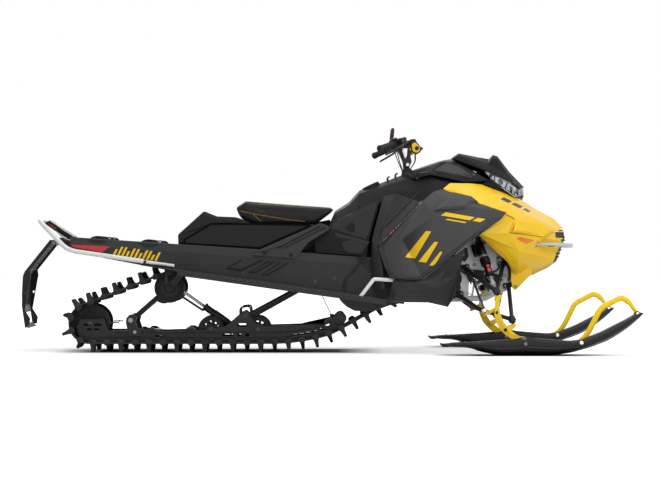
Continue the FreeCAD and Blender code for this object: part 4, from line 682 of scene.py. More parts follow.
def makeStage():
    # camera square to the side, level and far off; white surroundings; pale floor that keeps the shadow, with
    # painted contact shadows under the track and skis
    values = {"camera": (-0.139, -10.2, 0.5163), "lens": 105.06, "shift": (0.0461, 0.0197), "floorSize": 60.0,
              "floorShade": 0.80, "floorGlow": 0.42, "roomLight": 0.42,
              "contactShadows": [(-0.56, 0.62, 0.0, 0.19), (0.99, 0.22, 0.455, 0.07)]}
    scene = bpy.context.scene
    scene.view_settings.view_transform = "Standard"
    data = bpy.data.cameras.new("view")
    data.lens, data.sensor_width, data.clip_end = values["lens"], 36.0, 200.0
    data.shift_x, data.shift_y = values["shift"]
    camera = bpy.data.objects.new("view", data)
    camera.location = values["camera"]
    camera.rotation_euler = (math.radians(90), 0, 0)
    scene.collection.objects.link(camera)
    scene.camera = camera

    world = bpy.data.worlds.new("room")
    world.use_nodes = True
    tree = world.node_tree
    strength = maths(tree, "MULTIPLY_ADD", seenDirectly(tree), 1.0 - values["roomLight"], values["roomLight"])
    background = tree.nodes["Background"]
    background.inputs["Color"].default_value = (1, 1, 1, 1)
    tree.links.new(strength, background.inputs["Strength"])
    scene.world = world

    mesh = bpy.data.meshes.new("floor")
    s = values["floorSize"] / 2
    mesh.from_pydata([(-s, -s, 0), (s, -s, 0), (s, s, 0), (-s, s, 0)], [], [(0, 1, 2, 3)])
    floor = bpy.data.objects.new("floor", mesh)
    material = bpy.data.materials.new("paleFloor")
    material.use_nodes = True
    tree = material.node_tree
    shader = tree.nodes["Principled BSDF"]
    vector = node(tree, "TexCoord").outputs["Object"]
    slow = placeGroup(tree, "grain", {"Grain Scale": 30.0, "Mottle Scale": 0.7}, vector)[1]
    shade = values["floorShade"]
    shader.inputs["Roughness"].default_value = 0.9
    shader.inputs["Specular IOR Level"].default_value = 0.1
    shader.inputs["Emission Color"].default_value = (1, 1, 1, 1)
    away = node(tree, "VectorMath", None, {0: vector}, operation="LENGTH").outputs["Value"]
    far = maths(tree, "MULTIPLY_ADD", away, 1 / 4.0, -0.45, clamp=True)  # more glow away from the object
    glow = maths(tree, "MULTIPLY_ADD", far, 1.0 - values["floorGlow"], values["floorGlow"])
    parts = node(tree, "SeparateXYZ", None, {0: vector}).outputs
    shadow = 1.0
    # painted contact shadows: under the track and the skis the floor is near black (0.1) and gets no glow
    for x, reach, y, half in values["contactShadows"]:       # the floor hardly glows under these
        side = maths(tree, "ABSOLUTE", maths(tree, "SUBTRACT", maths(tree, "ABSOLUTE", parts["Y"]), y))
        past = maths(tree, "MULTIPLY_ADD", side, 1 / 0.05, -half / 0.05, clamp=True)
        endwise = maths(tree, "ABSOLUTE", maths(tree, "SUBTRACT", parts["X"], x))
        over = maths(tree, "MULTIPLY_ADD", endwise, 1 / 0.25, -reach / 0.25, clamp=True)
        shadow = maths(tree, "MULTIPLY", shadow, maths(tree, "MAXIMUM", past, over))
    glow = maths(tree, "MULTIPLY", glow, shadow)
    tree.links.new(maths(tree, "MULTIPLY", seenDirectly(tree), glow), shader.inputs["Emission Strength"])
    pale = blendColor(tree, slow, (shade, shade, shade), (shade * 1.02, shade * 1.02, shade * 1.02))
    tree.links.new(blendColor(tree, shadow, (0.1, 0.1, 0.1), pale), shader.inputs["Base Color"])
    mesh.materials.append(material)
    scene.collection.objects.link(floor)

    lamps = {                                  # place, aimed at, size, watts
        "overhead": ((0.0, -0.6, 4.2), (0.0, 0.0, 0.5), (5.0, 3.2), 95.0),
        "frontFill": ((2.0, -5.6, 2.8), (0.1, 0.0, 0.5), (3.5, 2.4), 78.0),
        "noseFill": ((4.4, -2.6, 2.4), (0.9, 0.0, 0.5), (2.4, 2.0), 34.0),
        "backRim": ((-1.0, 4.6, 2.8), (0.0, 0.0, 0.6), (4.0, 1.6), 70.0),
    }
    for name, (spot, aim, size, watts) in lamps.items():
        light = bpy.data.lights.new(name, "AREA")
        light.shape, light.energy = "RECTANGLE", watts
        light.size, light.size_y = size
        lamp = bpy.data.objects.new(name, light)
        lamp.location = spot
        lamp.rotation_euler = (Vector(aim) - Vector(spot)).to_track_quat("-Z", "Y").to_euler()
        scene.collection.objects.link(lamp)


makeStage()
print("camera, floor and lamps set")


def makeBodywork():
    # skins of the folded sheets: finish, a point behind them and the width of their rounded folds
    skins = {
        "console": ("consoleSkin", (200, 60, 600), 9), "knee_panels": ("graphitePlain", (400, 100, 560), 7),
        "cowl_sides": ("mattBlack", (560, 60, 700), 6), "side_panel_left": ("graphite", (600, 60, 500), 7),
        "side_panel_right": ("graphite", (600, 60, 500), 7),
        "lower_panels": ("graphitePlain", (500, 60, 420), 7), "hood": ("mattBlack", (650, 60, 800), 10),
        "visor": ("mattBlack", (850, 40, 880), 6), "lamp_surround": ("mattBlack", (850, 20, 800), 5),
        "nose_cover": ("yellowGloss", (850, 60, 640), 9), "nose_cheeks": ("noseLower", (1000, 40, 560), 6),
    }
    for name, (finish, behind, fold) in skins.items():
        shown[name] = panel(name, finish, behind, fold)


shown = {}
makeBodywork()
print("bodywork made")


def makeKeptNodes():
    # CAD nodes whose shapes are right: rounded edges and their own materials
    kept = {
        "tunnel": ("tunnel", 1.2), "tail_panel": ("blackPlastic", 1.5), "rails": ("blackSteel", 0.8),
        "toe_holds": ("white", 0), "running_board_left": ("tunnel", 0.8),
        "running_board_right": ("tunnel", 0.8), "engine": ("engine", 4), "bulkhead": ("cast", 1.2),
        "lower_arms": ("blackSteel", 0.6), "upper_arms": ("blackSteel", 0.6), "body_frame": ("blackSteel", 0),
        "pitman_arm": ("aluminium", 0.8), "steering_post": ("blackSteel", 0.6),
        "drive_covers": ("tunnel", 2.0), "front_grille": ("blackPlastic", 1.5),
        "tie_rod_left": ("aluminium", 0.5), "tie_rod_right": ("aluminium", 0.5),
    }
    for name, (finish, bevel) in kept.items():
        softened(name, finish, bevel)


makeKeptNodes()
print("plain nodes finished")


def softRing(y0, y1, inner, outer, origin, segments, soft):
    # a ring of rectangular section from y0 to y1 with chamfered edges
    section = [(y0 + soft, inner), (y1 - soft, inner), (y1, inner + soft), (y1, outer - soft),
               (y1 - soft, outer), (y0 + soft, outer), (y0, outer - soft), (y0, inner + soft)]
    return ring(section, origin, across, segments)


def post(centre, rings, corner):
    # an upright with chamfered corners through (height, half length, half width) rings about (s, y)
    c = 1 - corner
    octagon = np.array([(1, c), (c, 1), (-c, 1), (-1, c), (-1, -c), (-c, -1), (c, -1), (1, -c)])
    rings = np.array(rings, float)
    flat = octagon[None] * rings[:, None, 1:] + np.asarray(centre, float)
    tall = np.broadcast_to(rings[:, :1, None], (len(rings), 8, 1))
    return surface(np.concatenate([flat, tall], axis=2), capped=True)


trackShape = {
    # wrapped circles of the belt's inner face as (x, z, radius), from the rear wheel round the lower run
    "circles": [(-1235, 151, 100), (-300, 1201, 1150), (-300 + 750 * math.sin(math.radians(13.3)),
                1201 - 750 * math.cos(math.radians(13.3)), 400), (258, 332, 90), (-818, 336, 80)],
    "thickness": 7.0, "lugs": 51, "firstLug": 0.35,
    "belts": [(-190.5, -85), (-55, 55), (85, 190.5)],
    "paddles": [[(-187, -100), (100, 187)], [(-96, 96)]],          # of every first and every second row
}


def beltLine(distances):
    # points, forward and outward directions on the belt's outer face: arcs of the circles, joined by tangents
    circles, thick = trackShape["circles"], trackShape["thickness"]
    count, runs = len(circles), []
    tangents = []
    for i in range(count):
        (xa, za, ra), (xb, zb, rb) = circles[i], circles[(i + 1) % count]
        gap = math.hypot(xb - xa, zb - za)
        tangents.append((math.atan2(zb - za, xb - xa) - math.pi / 2 + math.asin((ra - rb) / gap),
                         math.sqrt(gap * gap - (ra - rb) ** 2)))
    for i in range(count):
        x, z, radius = circles[i]
        radius += thick
        arriving, leaving = tangents[i - 1][0], tangents[i][0]
        turn = (leaving - arriving) % (2 * math.pi)
        runs.append((x, z, radius, arriving, radius * turn))
        runs.append((x + radius * math.cos(leaving), z + radius * math.sin(leaving), 0.0, leaving,
                     tangents[i][1]))
    ends = np.cumsum([r[4] for r in runs])
    s = np.asarray(distances, float) % 1.0 * ends[-1]
    which = np.minimum(np.searchsorted(ends, s, side="right"), len(runs) - 1)
    rows = np.array(runs)[which]
    part = s - (ends[which] - rows[:, 4])
    arc = rows[:, 2] > 0
    angle = rows[:, 3] + np.where(arc, part / np.maximum(rows[:, 2], 1e-9), 0.0)
    out = np.stack([np.cos(angle), 0 * angle, np.sin(angle)], axis=1)
    forward = np.stack([-out[:, 2], 0 * angle, out[:, 0]], axis=1)
    start = np.stack([rows[:, 0], 0 * angle, rows[:, 1]], axis=1)
    return start + np.where(arc[:, None], out * rows[:, 2:3], forward * part[:, None]), forward, out


def repeated(shape, points, forward, out):
    # copies of a local shape (s, y, h): point + forward s + across y + out h
    local, faces = shape
    copies = (points[:, None] + forward[:, None] * local[None, :, :1] + across * local[None, :, 1:2]
              + out[:, None] * local[None, :, 2:])
    shift = (np.arange(len(points)) * len(local))[:, None, None]
    return copies.reshape(-1, 3), [(block[None] + shift).reshape(-1, block.shape[1]) for block in faces]


def makeTrack():
    # three belts joined by cross bars; a row of ribbed paddles on each bar; drive feet inside
    values = trackShape
    count = values["lugs"]
    line, _, out = beltLine(np.arange(count * 6) / (count * 6))
    loops = []
    for y0, y1 in values["belts"]:
        section = vec((0, y0 + 1.5), (0, y1 - 1.5), (1.5, y1), (5.5, y1), (7, y1 - 1.5),
                      (7, y0 + 1.5), (5.5, y0), (1.5, y0))
        grid = line[:, None] + out[:, None] * (section[None, :, :1] - 7) + across * section[None, :, 1:]
        loops.append(surface(grid, looped=True))
    bar = [post((0, 0), [(-6.4, 14, 188), (-5.4, 16, 188), (-0.6, 17, 188), (0.6, 14, 187)], 0.1)]
    foot = [post((0, y), [(-6.5, 19, w), (-11, 20, w), (-19, 15, w - 1), (-22, 11, w - 3)], 0.35)
            for y, w in ((-177, 10), (-38, 11), (38, 11), (177, 10))]
    rows = []
    for paddles in values["paddles"]:
        lug = []
        for y0, y1 in paddles:
            middle, half = (y0 + y1) / 2, (y1 - y0) / 2
            lug.append(post((0, middle), [(-0.5, 9, half - 2), (4, 5.5, half - 3), (38, 4, half - 3),
                                          (41.5, 3, half - 5)], 0.05))
            for y in np.linspace(y0 + 6, y1 - 6, 3 if half < 60 else 4):
                lug.append(post((0, y), [(-0.5, 17, 9.5), (5, 13, 8), (22, 10, 6.6), (41.5, 7.8, 5.4),
                                         (44, 5.8, 3.8)], 0.4))
        rows.append(merged(lug))
    edge = merged([post((0, y), [(-7.5, 14, 5), (-3, 17, 5.5), (3, 13, 5), (9, 5, 3.5)], 0.4)
                   for y in (-186, 186)])
    clip = [post((0, y), [(-0.2, 13, 9), (1.4, 12, 8.4)], 0.2) for y in (-88, -52, 52, 88)]
    at = beltLine((np.arange(count) + values["firstLug"]) / count)
    rubber = loops + [repeated(s, *at) for s in bar + foot + [edge]]
    for i, row in enumerate(rows):
        rubber.append(repeated(row, *[part[i::2] for part in at]))
    makePiece("trackBelt", rubber, "rubber", ["track"], crease=28)
    makePiece("trackClips", [repeated(s, *at) for s in clip], "blackSteel", crease=28)


makeTrack()
print("track made")


def spokes(count, x, z, y0, y1, inner, outer, width, tip, start):
    # radial bars from the hub to the rim, narrowing from width to tip
    bars = []
    for i in range(count):
        bar = slab([(inner, -width / 2), (outer, -tip / 2), (outer, tip / 2), (inner, width / 2)], y0, y1)
        bars.append(moved(turned(bar, (0, 0, 0), (0, 1, 0), start + 360.0 * i / count), (x, 0, z)))
    return bars


def rollerWheel(x, z, radius, y, half, spokeCount, start, closed=False):
    # rubber tyre, rim, hub and spokes; closed adds a thin web behind ribs
    at = (x, 0, z)
    rubber = [softRing(y - half, y + half, radius - 9, radius, at, 48, 2.6)]
    plastic = [softRing(y - half + 1.5, y + half - 1.5, radius - 20, radius - 8, at, 48, 1.5),
               softRing(y - half, y + half, 9, 24, at, 28, 2)]
    if closed:
        plastic.append(softRing(y - 3, y + 3, 20, radius - 14, at, 48, 1))
        plastic += spokes(spokeCount, x, z, y - half + 3, y + half - 3, 20, radius - 16, 4.5, 3.5, start)
        plastic.append(softRing(y - half + 2, y + half - 2, radius * 0.52, radius * 0.52 + 4, at, 40, 1))
    else:
        plastic += spokes(spokeCount, x, z, y - half + 3, y + half - 3, 20, radius - 14, 15, 9, start)
        plastic.append(softRing(y - half + 5, y + half - 5, radius - 25, radius - 16, at, 40, 1))
    metal = [softRing(y - half - 1.5, y + half + 1.5, 8.2, 15, at, 20, 1.2)]
    return rubber, plastic, metal


def makeWheels():
    # each entry: x, z, radius, y, half width
    values = {"rear": (-1235, 151, 99.7, 98, 13), "idlers": [(x, 119.3, 68, 98, 11) for x in (-605, -358)],
              "carrier": (-818, 336, 79.7, 150, 12), "drive": (258, 332, 89.7, 70, 14)}
    x, z, radius, y, half = values["rear"]
    rubber, plastic, metal = rollerWheel(x, z, radius, y, half, 14, 6, closed=True)
    makePiece("rearWheelTyres", bothSides(rubber), "softRubber")
    makePiece("rearWheels", bothSides(plastic), "wheelPlastic", ["rear_wheels"], bevel=0.6)
    metal += [lathe([(0, 0), (0, 13), (5, 13), (6, 11), (6, 0)], (x, 136, z), across, 6),
              rod((x + 100, 130, z + 2), (x + 152, 130, z + 2), 3.5, 10),
              lathe([(0, 0), (0, 6), (4, 6), (4, 0)], (x + 128, 130, z + 2), along, 6)]
    makePiece("rearAxle", [rod((x, -145, z), (x, 145, z), 8)] + bothSides(metal),
              "rivet", bevel=0.4)

    rubber, plastic, metal, axles = [], [], [], []
    for x, z, radius, y, half in values["idlers"]:
        r, p, m = rollerWheel(x, z, radius, y, half, 8, 12)
        rubber, plastic, metal = rubber + r, plastic + p, metal + m + [boltHead((x, 142, z), across, 8, 5)]
        axles.append(rod((x, -142, z), (x, 142, z), 8))
    makePiece("idlerTyres", bothSides(rubber), "softRubber")
    makePiece("idlerWheels", bothSides(plastic), "wheelPlastic", ["idler_wheels"], bevel=0.6)
    makePiece("idlerAxles", axles + bothSides(metal), "rivet", bevel=0.4)

    x, z, radius, y, half = values["carrier"]
    profile = [(-half, 0), (-half, 20), (-half + 2, 24), (-half + 8, 27), (-half + 8, 50), (-half + 4, 54),
               (-half + 4, 60), (-half + 8, 63), (-half + 8, 67), (-half, 70), (-half, 77),
               (-half + 3, radius), (half - 3, radius), (half, 77), (half, 70), (half - 8, 66),
               (half - 8, 27), (half - 2, 24), (half, 20), (half, 0)]
    discs = [lathe(profile, (x, side * y, z), across, 56) for side in (-1, 1)]
    discs.append(rod((x, -209, z), (x, 209, z), 8))
    makePiece("carrierWheels", discs, "wheelPlastic", ["carrier_wheels"],
              bevel=0.5, crease=25)
    hanger = [slab([(x - 26, 438), (x - 14, 438), (x - 2, 362), (x + 62, 430), (x + 86, 428), (x + 88, 420),
                    (x + 22, 330), (x + 8, 314), (x - 8, 314), (x - 20, 330)], 172, 178),
              lathe([(0, 0), (0, 20), (5, 20), (8, 16), (8, 11), (12, 10), (12, 0)], (x, 178, z), across, 24)]
    makePiece("carrierHangers", bothSides(hanger), "tunnel", bevel=1.2)

    x, z, radius, y, half = values["drive"]
    wheel = [softRing(y - half, y + half, radius - 14, radius, (x, 0, z), 48, 2),
             softRing(y - half, y + half, 14, 34, (x, 0, z), 28, 2),
             *spokes(8, x, z, y - 8, y + 8, 30, radius - 10, 16, 12, 5)]
    makePiece("driveSprockets", [rod((x, -209, z), (x, 209, z), 14)] + bothSides(wheel),
              "wheelPlastic", ["drive_axle"], bevel=0.8)


makeWheels()
print("wheels made")


def threaded(a, b, radius):
    # a rod whose radius steps between radius and radius - depth every half pitch
    pitch, depth = 3.2, 0.7
    a, b = np.asarray(a, float), np.asarray(b, float)
    length = np.linalg.norm(b - a)
    count = int(length / pitch)
    d = np.repeat(np.arange(count) * pitch, 2) + np.tile([0, pitch / 2], count)
    r = radius - depth * np.tile([0, 1], count)
    profile = [(0, 0)] + list(zip(d, r)) + [(length, radius), (length, 0)]
    return lathe(profile, a, b - a, 14)


def makeRailSuspension():
    values = {"rearFoot": (-1022, 166), "carrierAxle": (-818, 336), "frontFoot": (-424, 190),
              "frontTop": (-150, 328), "shockTop": (-762, 0, 318), "shockLow": (-486, 0, 122)}
    (fx, fz), (cx, cz) = values["rearFoot"], values["carrierAxle"]
    leg = [(fx, 104, fz), (fx + 60, 104, fz + 53), (cx - 30, 104, cz - 18), (cx, 104, cz)]
    bracket = [(-1047, 150), (-1045, 176), (-1030, 194), (-1010, 198), (-993, 188), (-990, 172), (-996, 156),
               (-984, 120), (-980, 96), (-1012, 90), (-1040, 122)]
    arm = [carried(circle(14) * (11, 15), leg, hint=across), slab(bracket, 137, 148),
           slab([(-1040, 118), (-972, 118), (-964, 104), (-970, 84), (-1030, 84)], 120, 147),
           slab([(-884, 262), (-862, 252), (-838, 252), (-826, 268), (-840, 300), (-880, 292)], 96, 112),
           slab([(cx - 6, cz - 14), (-768, 305), (-749, 318), (-760, 330), (cx, cz + 15)], 12, 19),
           rod((-772, 34, 292), (-650, 34, 212), 4.5, 10)]
    arm = bothSides(arm) + [rod((fx, -140, fz), (fx, 140, fz), 12), rod((cx, -130, cz), (cx, 130, cz), 15)]
    makePiece("rearSwingArm", arm, "blackSteel", ["rear_swing_arm"], bevel=1.4)
    bolts = bothSides([boltHead((fx, 148, fz), across, 8.5, 6), boltHead((-1000, 148, 104), across, 6, 3)])
    makePiece("rearArmBolts", bolts, "steelMid", bevel=0.4)

    (ax, az), (bx, bz) = values["frontFoot"], values["frontTop"]
    tubes = [carried(circle(12) * (9, 11), [(ax + 10 + 6 * k, 112 - 14 * k, az - 4 - 12 * k),
                                            (bx + 4 * k, 112 - 14 * k, bz - 8 * k)]) for k in (0, 1)]
    arm = bothSides(tubes) + [rod((ax, -136, az), (ax, 136, az), 11), rod((bx, -210, bz), (bx, 210, bz), 13)]
    makePiece("frontSwingArm", arm, "blackSteel", ["front_swing_arm"], bevel=0.5)

    top, low = vec(*values["shockTop"]), vec(*values["shockLow"])

    def at(share):                     # a point on the shock's line, from its upper to its lower eye
        return top + (low - top) * share

    silver = [threaded(at(0.06), at(0.46), 8.5),
              lathe([(-11, 0), (-11, 12), (-9, 13), (9, 13), (11, 12), (11, 0)], top, across, 22),
              lathe([(0, 0), (0, 12), (10, 12), (12, 9), (12, 0)], at(0.04), low - top, 20)]
    makePiece("trackShockRods", silver, "steel", bevel=0.4)
    strap = lineBand([(-40, 330), (28, 184)], 4.4)
    body = [lathe([(0, 0), (0, 17), (3, 22), (12, 22), (15, 18.5), (60, 18.5), (64, 21), (150, 21), (154, 19),
                   (176, 19), (178, 14), (178, 0)], at(0.42), low - top, 30),
            lathe([(-130, 0), (-130, 9), (-16, 9), (-14, 13), (14, 13), (16, 9), (130, 9), (130, 0)],
                  low, across, 22),
            slab(strap, -14, 14), rod((72, -134, 178), (72, 134, 178), 9),
            slab([(16, 192), (38, 196), (46, 176), (24, 168)], -20, 20)]
    makePiece("trackShockBodies", body, "blackSteel", ["track_shocks"], bevel=0.8)


makeRailSuspension()


def railEdge(share):
    # the rails' lower edge: level to the bend, then an arc of the bend radius, then the nose's arc
    bendStart, bend, radius, nose = -300.0, math.radians(13.3), 1150.0, 400.0
    level, arc = bendStart + 1235, radius * bend
    reach = share * (level + arc + nose * math.radians(18))
    a = np.clip((reach - level) / radius, 0, bend)
    b = np.clip((reach - level - arc) / nose, 0, None) + bend
    x = np.where(reach < level, -1235 + reach, bendStart + radius * np.sin(a)
                 + nose * (np.sin(b) - math.sin(bend)))
    z = 51.3 + radius * (1 - np.cos(a)) + nose * (math.cos(bend) - np.cos(b))
    return x, z, np.where(reach < level, 0, b * (reach >= level + arc) + a * (reach < level + arc))


def makeRailDetails():
    # strips that follow the rails' lower edge at given heights, end castings, stops, bolts and wire rings
    x, z, lean = railEdge(np.linspace(0, 1, 60))
    normal = np.stack([-np.sin(lean), 0 * lean, np.cos(lean)], axis=1)
    line = np.stack([x, 0 * x, z], axis=1)

    def strip(low, high, y0, y1, first):
        section = vec((low, y0), (low, y1), (high, y1), (high, y0))
        grid = (line[first:, None] + normal[first:, None] * section[None, :, :1]
                + across * section[None, :, 1:])
        return surface(grid, capped=True)

    strips = [strip(0.1, 13, 121, 140, 2), strip(24, 27, 135, 138.5, 2), strip(48, 53, 134, 140, 6)]
    makePiece("railSlides", bothSides(strips), "softRubber", bevel=1.2)
    cast = [slab([(40, 150), (62, 138), (92, 152), (104, 170), (103, 188), (92, 203), (76, 209), (60, 203),
                  (44, 186), (20, 172), (14, 158)], 118, 142),
            slab([(-14, 142), (8, 146), (22, 166), (18, 176), (-6, 164)], 114, 146),
            slab([(-734, 112), (-684, 112), (-684, 124), (-694, 124), (-694, 130), (-728, 130), (-728, 124),
                  (-734, 124)], 112, 148),
            slab([(-948, 112), (-930, 128), (-908, 128), (-890, 116), (-870, 112)], 122, 138)]
    for a, b in ((-1232, 172), (-1170, 172), (-985, 74), (-900, 74), (-700, 74), (-560, 74),
                 (-500, 92), (-380, 92), (-346, 74), (-250, 74), (-210, 76), (-310, 92),
                 (-640, 74), (-40, 122)):
        cast.append(lathe([(0, 0), (0, 6.5), (3, 5.5), (3.4, 0)], (a, 136, b), across, 8))
    makePiece("railCastings", bothSides(cast), "blackSteel", bevel=1.5)
    metal = [boltHead((78, 142, 180), across, 7, 5), boltHead((-424, 136, 190), across, 8, 6)]
    makePiece("railBolts", bothSides(metal), "rivet", bevel=0.4)
    wire = rounded([(-452, 130, 196), (-452, 130, 232), (-398, 130, 240), (-396, 130, 200)], 26, 8)
    makePiece("railHandRings", bothSides([tube(wire, 4.5, 10)]), "blackSteel")


makeRailDetails()
print("rail suspension made")


def plate(outline, low, high, holes=()):
    # a flat outline with holes in it, made solid from low to high
    loops = [np.asarray(loop, float) for loop in (outline, *holes)]
    flat = np.vstack(loops)
    triangles = np.array(tessellate_polygon([[Vector((a, b, 0)) for a, b in loop] for loop in loops]))
    count = len(flat)
    points = np.vstack([np.insert(flat, 1, level, axis=1) for level in (low, high)])
    faces, start = [triangles, triangles[:, ::-1] + count], 0
    for loop in loops:
        i = np.arange(len(loop))
        j = (i + 1) % len(loop)
        faces.append(np.stack([start + i, start + j, start + j + count, start + i + count], axis=1))
        start += len(loop)
    return points, faces


def roundHole(x, z, radius):
    return circle(14) * radius + (x, z)


def wrapped(mesh, target, method, offset=0.0):
    # a mesh's points moved onto a target's surface: across the machine, or to the nearest point
    held = bpy.data.objects.new("held", mesh)
    bpy.context.scene.collection.objects.link(held)
    wrap = held.modifiers.new("wrap", "SHRINKWRAP")
    wrap.target, wrap.wrap_method, wrap.offset = target, method, offset * toMetres
    if method == "PROJECT":
        wrap.use_project_x, wrap.use_project_y, wrap.use_project_z = False, True, False
        wrap.use_positive_direction = wrap.use_negative_direction = True
    graph = bpy.context.evaluated_depsgraph_get()
    result = bpy.data.meshes.new_from_object(held.evaluated_get(graph))
    bpy.data.objects.remove(held)
    return result


def inset(outline, width):
    # a closed outline moved inwards: each corner slides along the middle of its two edges' normals
    outline = np.asarray(outline, float)
    edge = np.roll(outline, -1, axis=0) - outline
    edge /= np.linalg.norm(edge, axis=1)[:, None]
    area = np.sum(outline[:, 0] * np.roll(outline[:, 1], -1) - outline[:, 1] * np.roll(outline[:, 0], -1))
    normal = np.stack([-edge[:, 1], edge[:, 0]], axis=1) * np.sign(area)
    before = np.roll(normal, 1, axis=0)
    middle = normal + before
    middle /= np.maximum(np.sum(middle * normal, axis=1), 0.45)[:, None]
    return outline + middle * width


def edgeDistance(points, outline):
    # the distance of each flat point from the nearest edge of a closed outline
    a = np.asarray(outline, float)
    b = np.roll(a, -1, axis=0)
    run = b - a
    share = np.clip(np.einsum("pij,ij->pi", points[:, None] - a, run) / np.sum(run * run, axis=1), 0, 1)
    return np.min(np.linalg.norm(points[:, None] - (a + share[:, :, None] * run), axis=2), axis=1)


def draped(name, outlines, side, material, thick, slope):
    # flat outlines in side view cut into small cells and laid on the shell's outer face. Without a slope they
    # get a wall outwards; with one they rise to their thickness over that distance from the edge
    start, cell, torn = 450, 14, 30    # where they start, how small they are cut, the longest cell kept
    work = bmesh.new()
    for outline in outlines:
        loops = [np.asarray(outline, float)] + ([inset(outline, slope)] if slope else [])
        rings = [[work.verts.new((x * toMetres, side * start * toMetres, z * toMetres)) for x, z in loop]
                 for loop in loops]
        work.faces.new(rings[-1])
        for k in range(len(rings[0]) if slope else 0):
            n = (k + 1) % len(rings[0])
            work.faces.new([rings[0][k], rings[0][n], rings[1][n], rings[1][k]])
    low = np.min([np.min(o, axis=0) for o in outlines], axis=0)
    high = np.max([np.max(o, axis=0) for o in outlines], axis=0)
    bmesh.ops.triangulate(work, faces=work.faces)
    for k, direction in ((0, (1, 0, 0)), (1, (0, 0, 1))):
        for level in np.arange(low[k] + cell, high[k], cell):
            at = (level * toMetres, 0, 0) if k == 0 else (0, 0, level * toMetres)
            bmesh.ops.bisect_plane(work, geom=work.verts[:] + work.edges[:] + work.faces[:], plane_co=at,
                                   plane_no=direction)
    mesh = bpy.data.meshes.new(name)
    work.to_mesh(mesh)
    work.free()
    flat = spots(mesh)[:, [0, 2]] / toMetres
    laid = wrapped(mesh, shell, "PROJECT")
    rise = np.zeros(len(flat))
    if slope:
        away = np.min([edgeDistance(flat, outline) for outline in outlines], axis=0)
        rise += thick * np.clip(away / slope, 0, 1) - 0.4
    points = spots(laid)
    points[:, 1] += side * rise * toMetres
    laid.vertices.foreach_set("co", points.ravel())
    work = bmesh.new()
    work.from_mesh(laid)
    missed = [v for v in work.verts if abs(v.co.y) > (start - 2) * toMetres]
    bmesh.ops.delete(work, geom=missed, context="VERTS")
    long = [f for f in work.faces
            if max(v.co.y for v in f.verts) - min(v.co.y for v in f.verts) > torn * toMetres]
    bmesh.ops.delete(work, geom=long, context="FACES")
    bmesh.ops.recalc_face_normals(work, faces=work.faces)
    if side * sum(face.normal.y * face.calc_area() for face in work.faces) < 0:
        bmesh.ops.reverse_faces(work, faces=work.faces)
    work.to_mesh(laid)
    work.free()
    if not len(laid.polygons):
        print("nothing laid for", name)
        return None
    laid.name = name
    laid.shade_smooth()
    laid.set_sharp_from_angle(angle=math.radians(24))
    piece = bpy.data.objects.new(name, laid)
    wall = piece.modifiers.new("wall", "SOLIDIFY")
    if slope:
        wall.thickness, wall.offset = 1.5 * toMetres, -1
    else:
        wall.thickness, wall.offset = (thick + 0.6) * toMetres, thick / (thick + 0.6) * 2 - 1
    return place(piece, chassis, material)


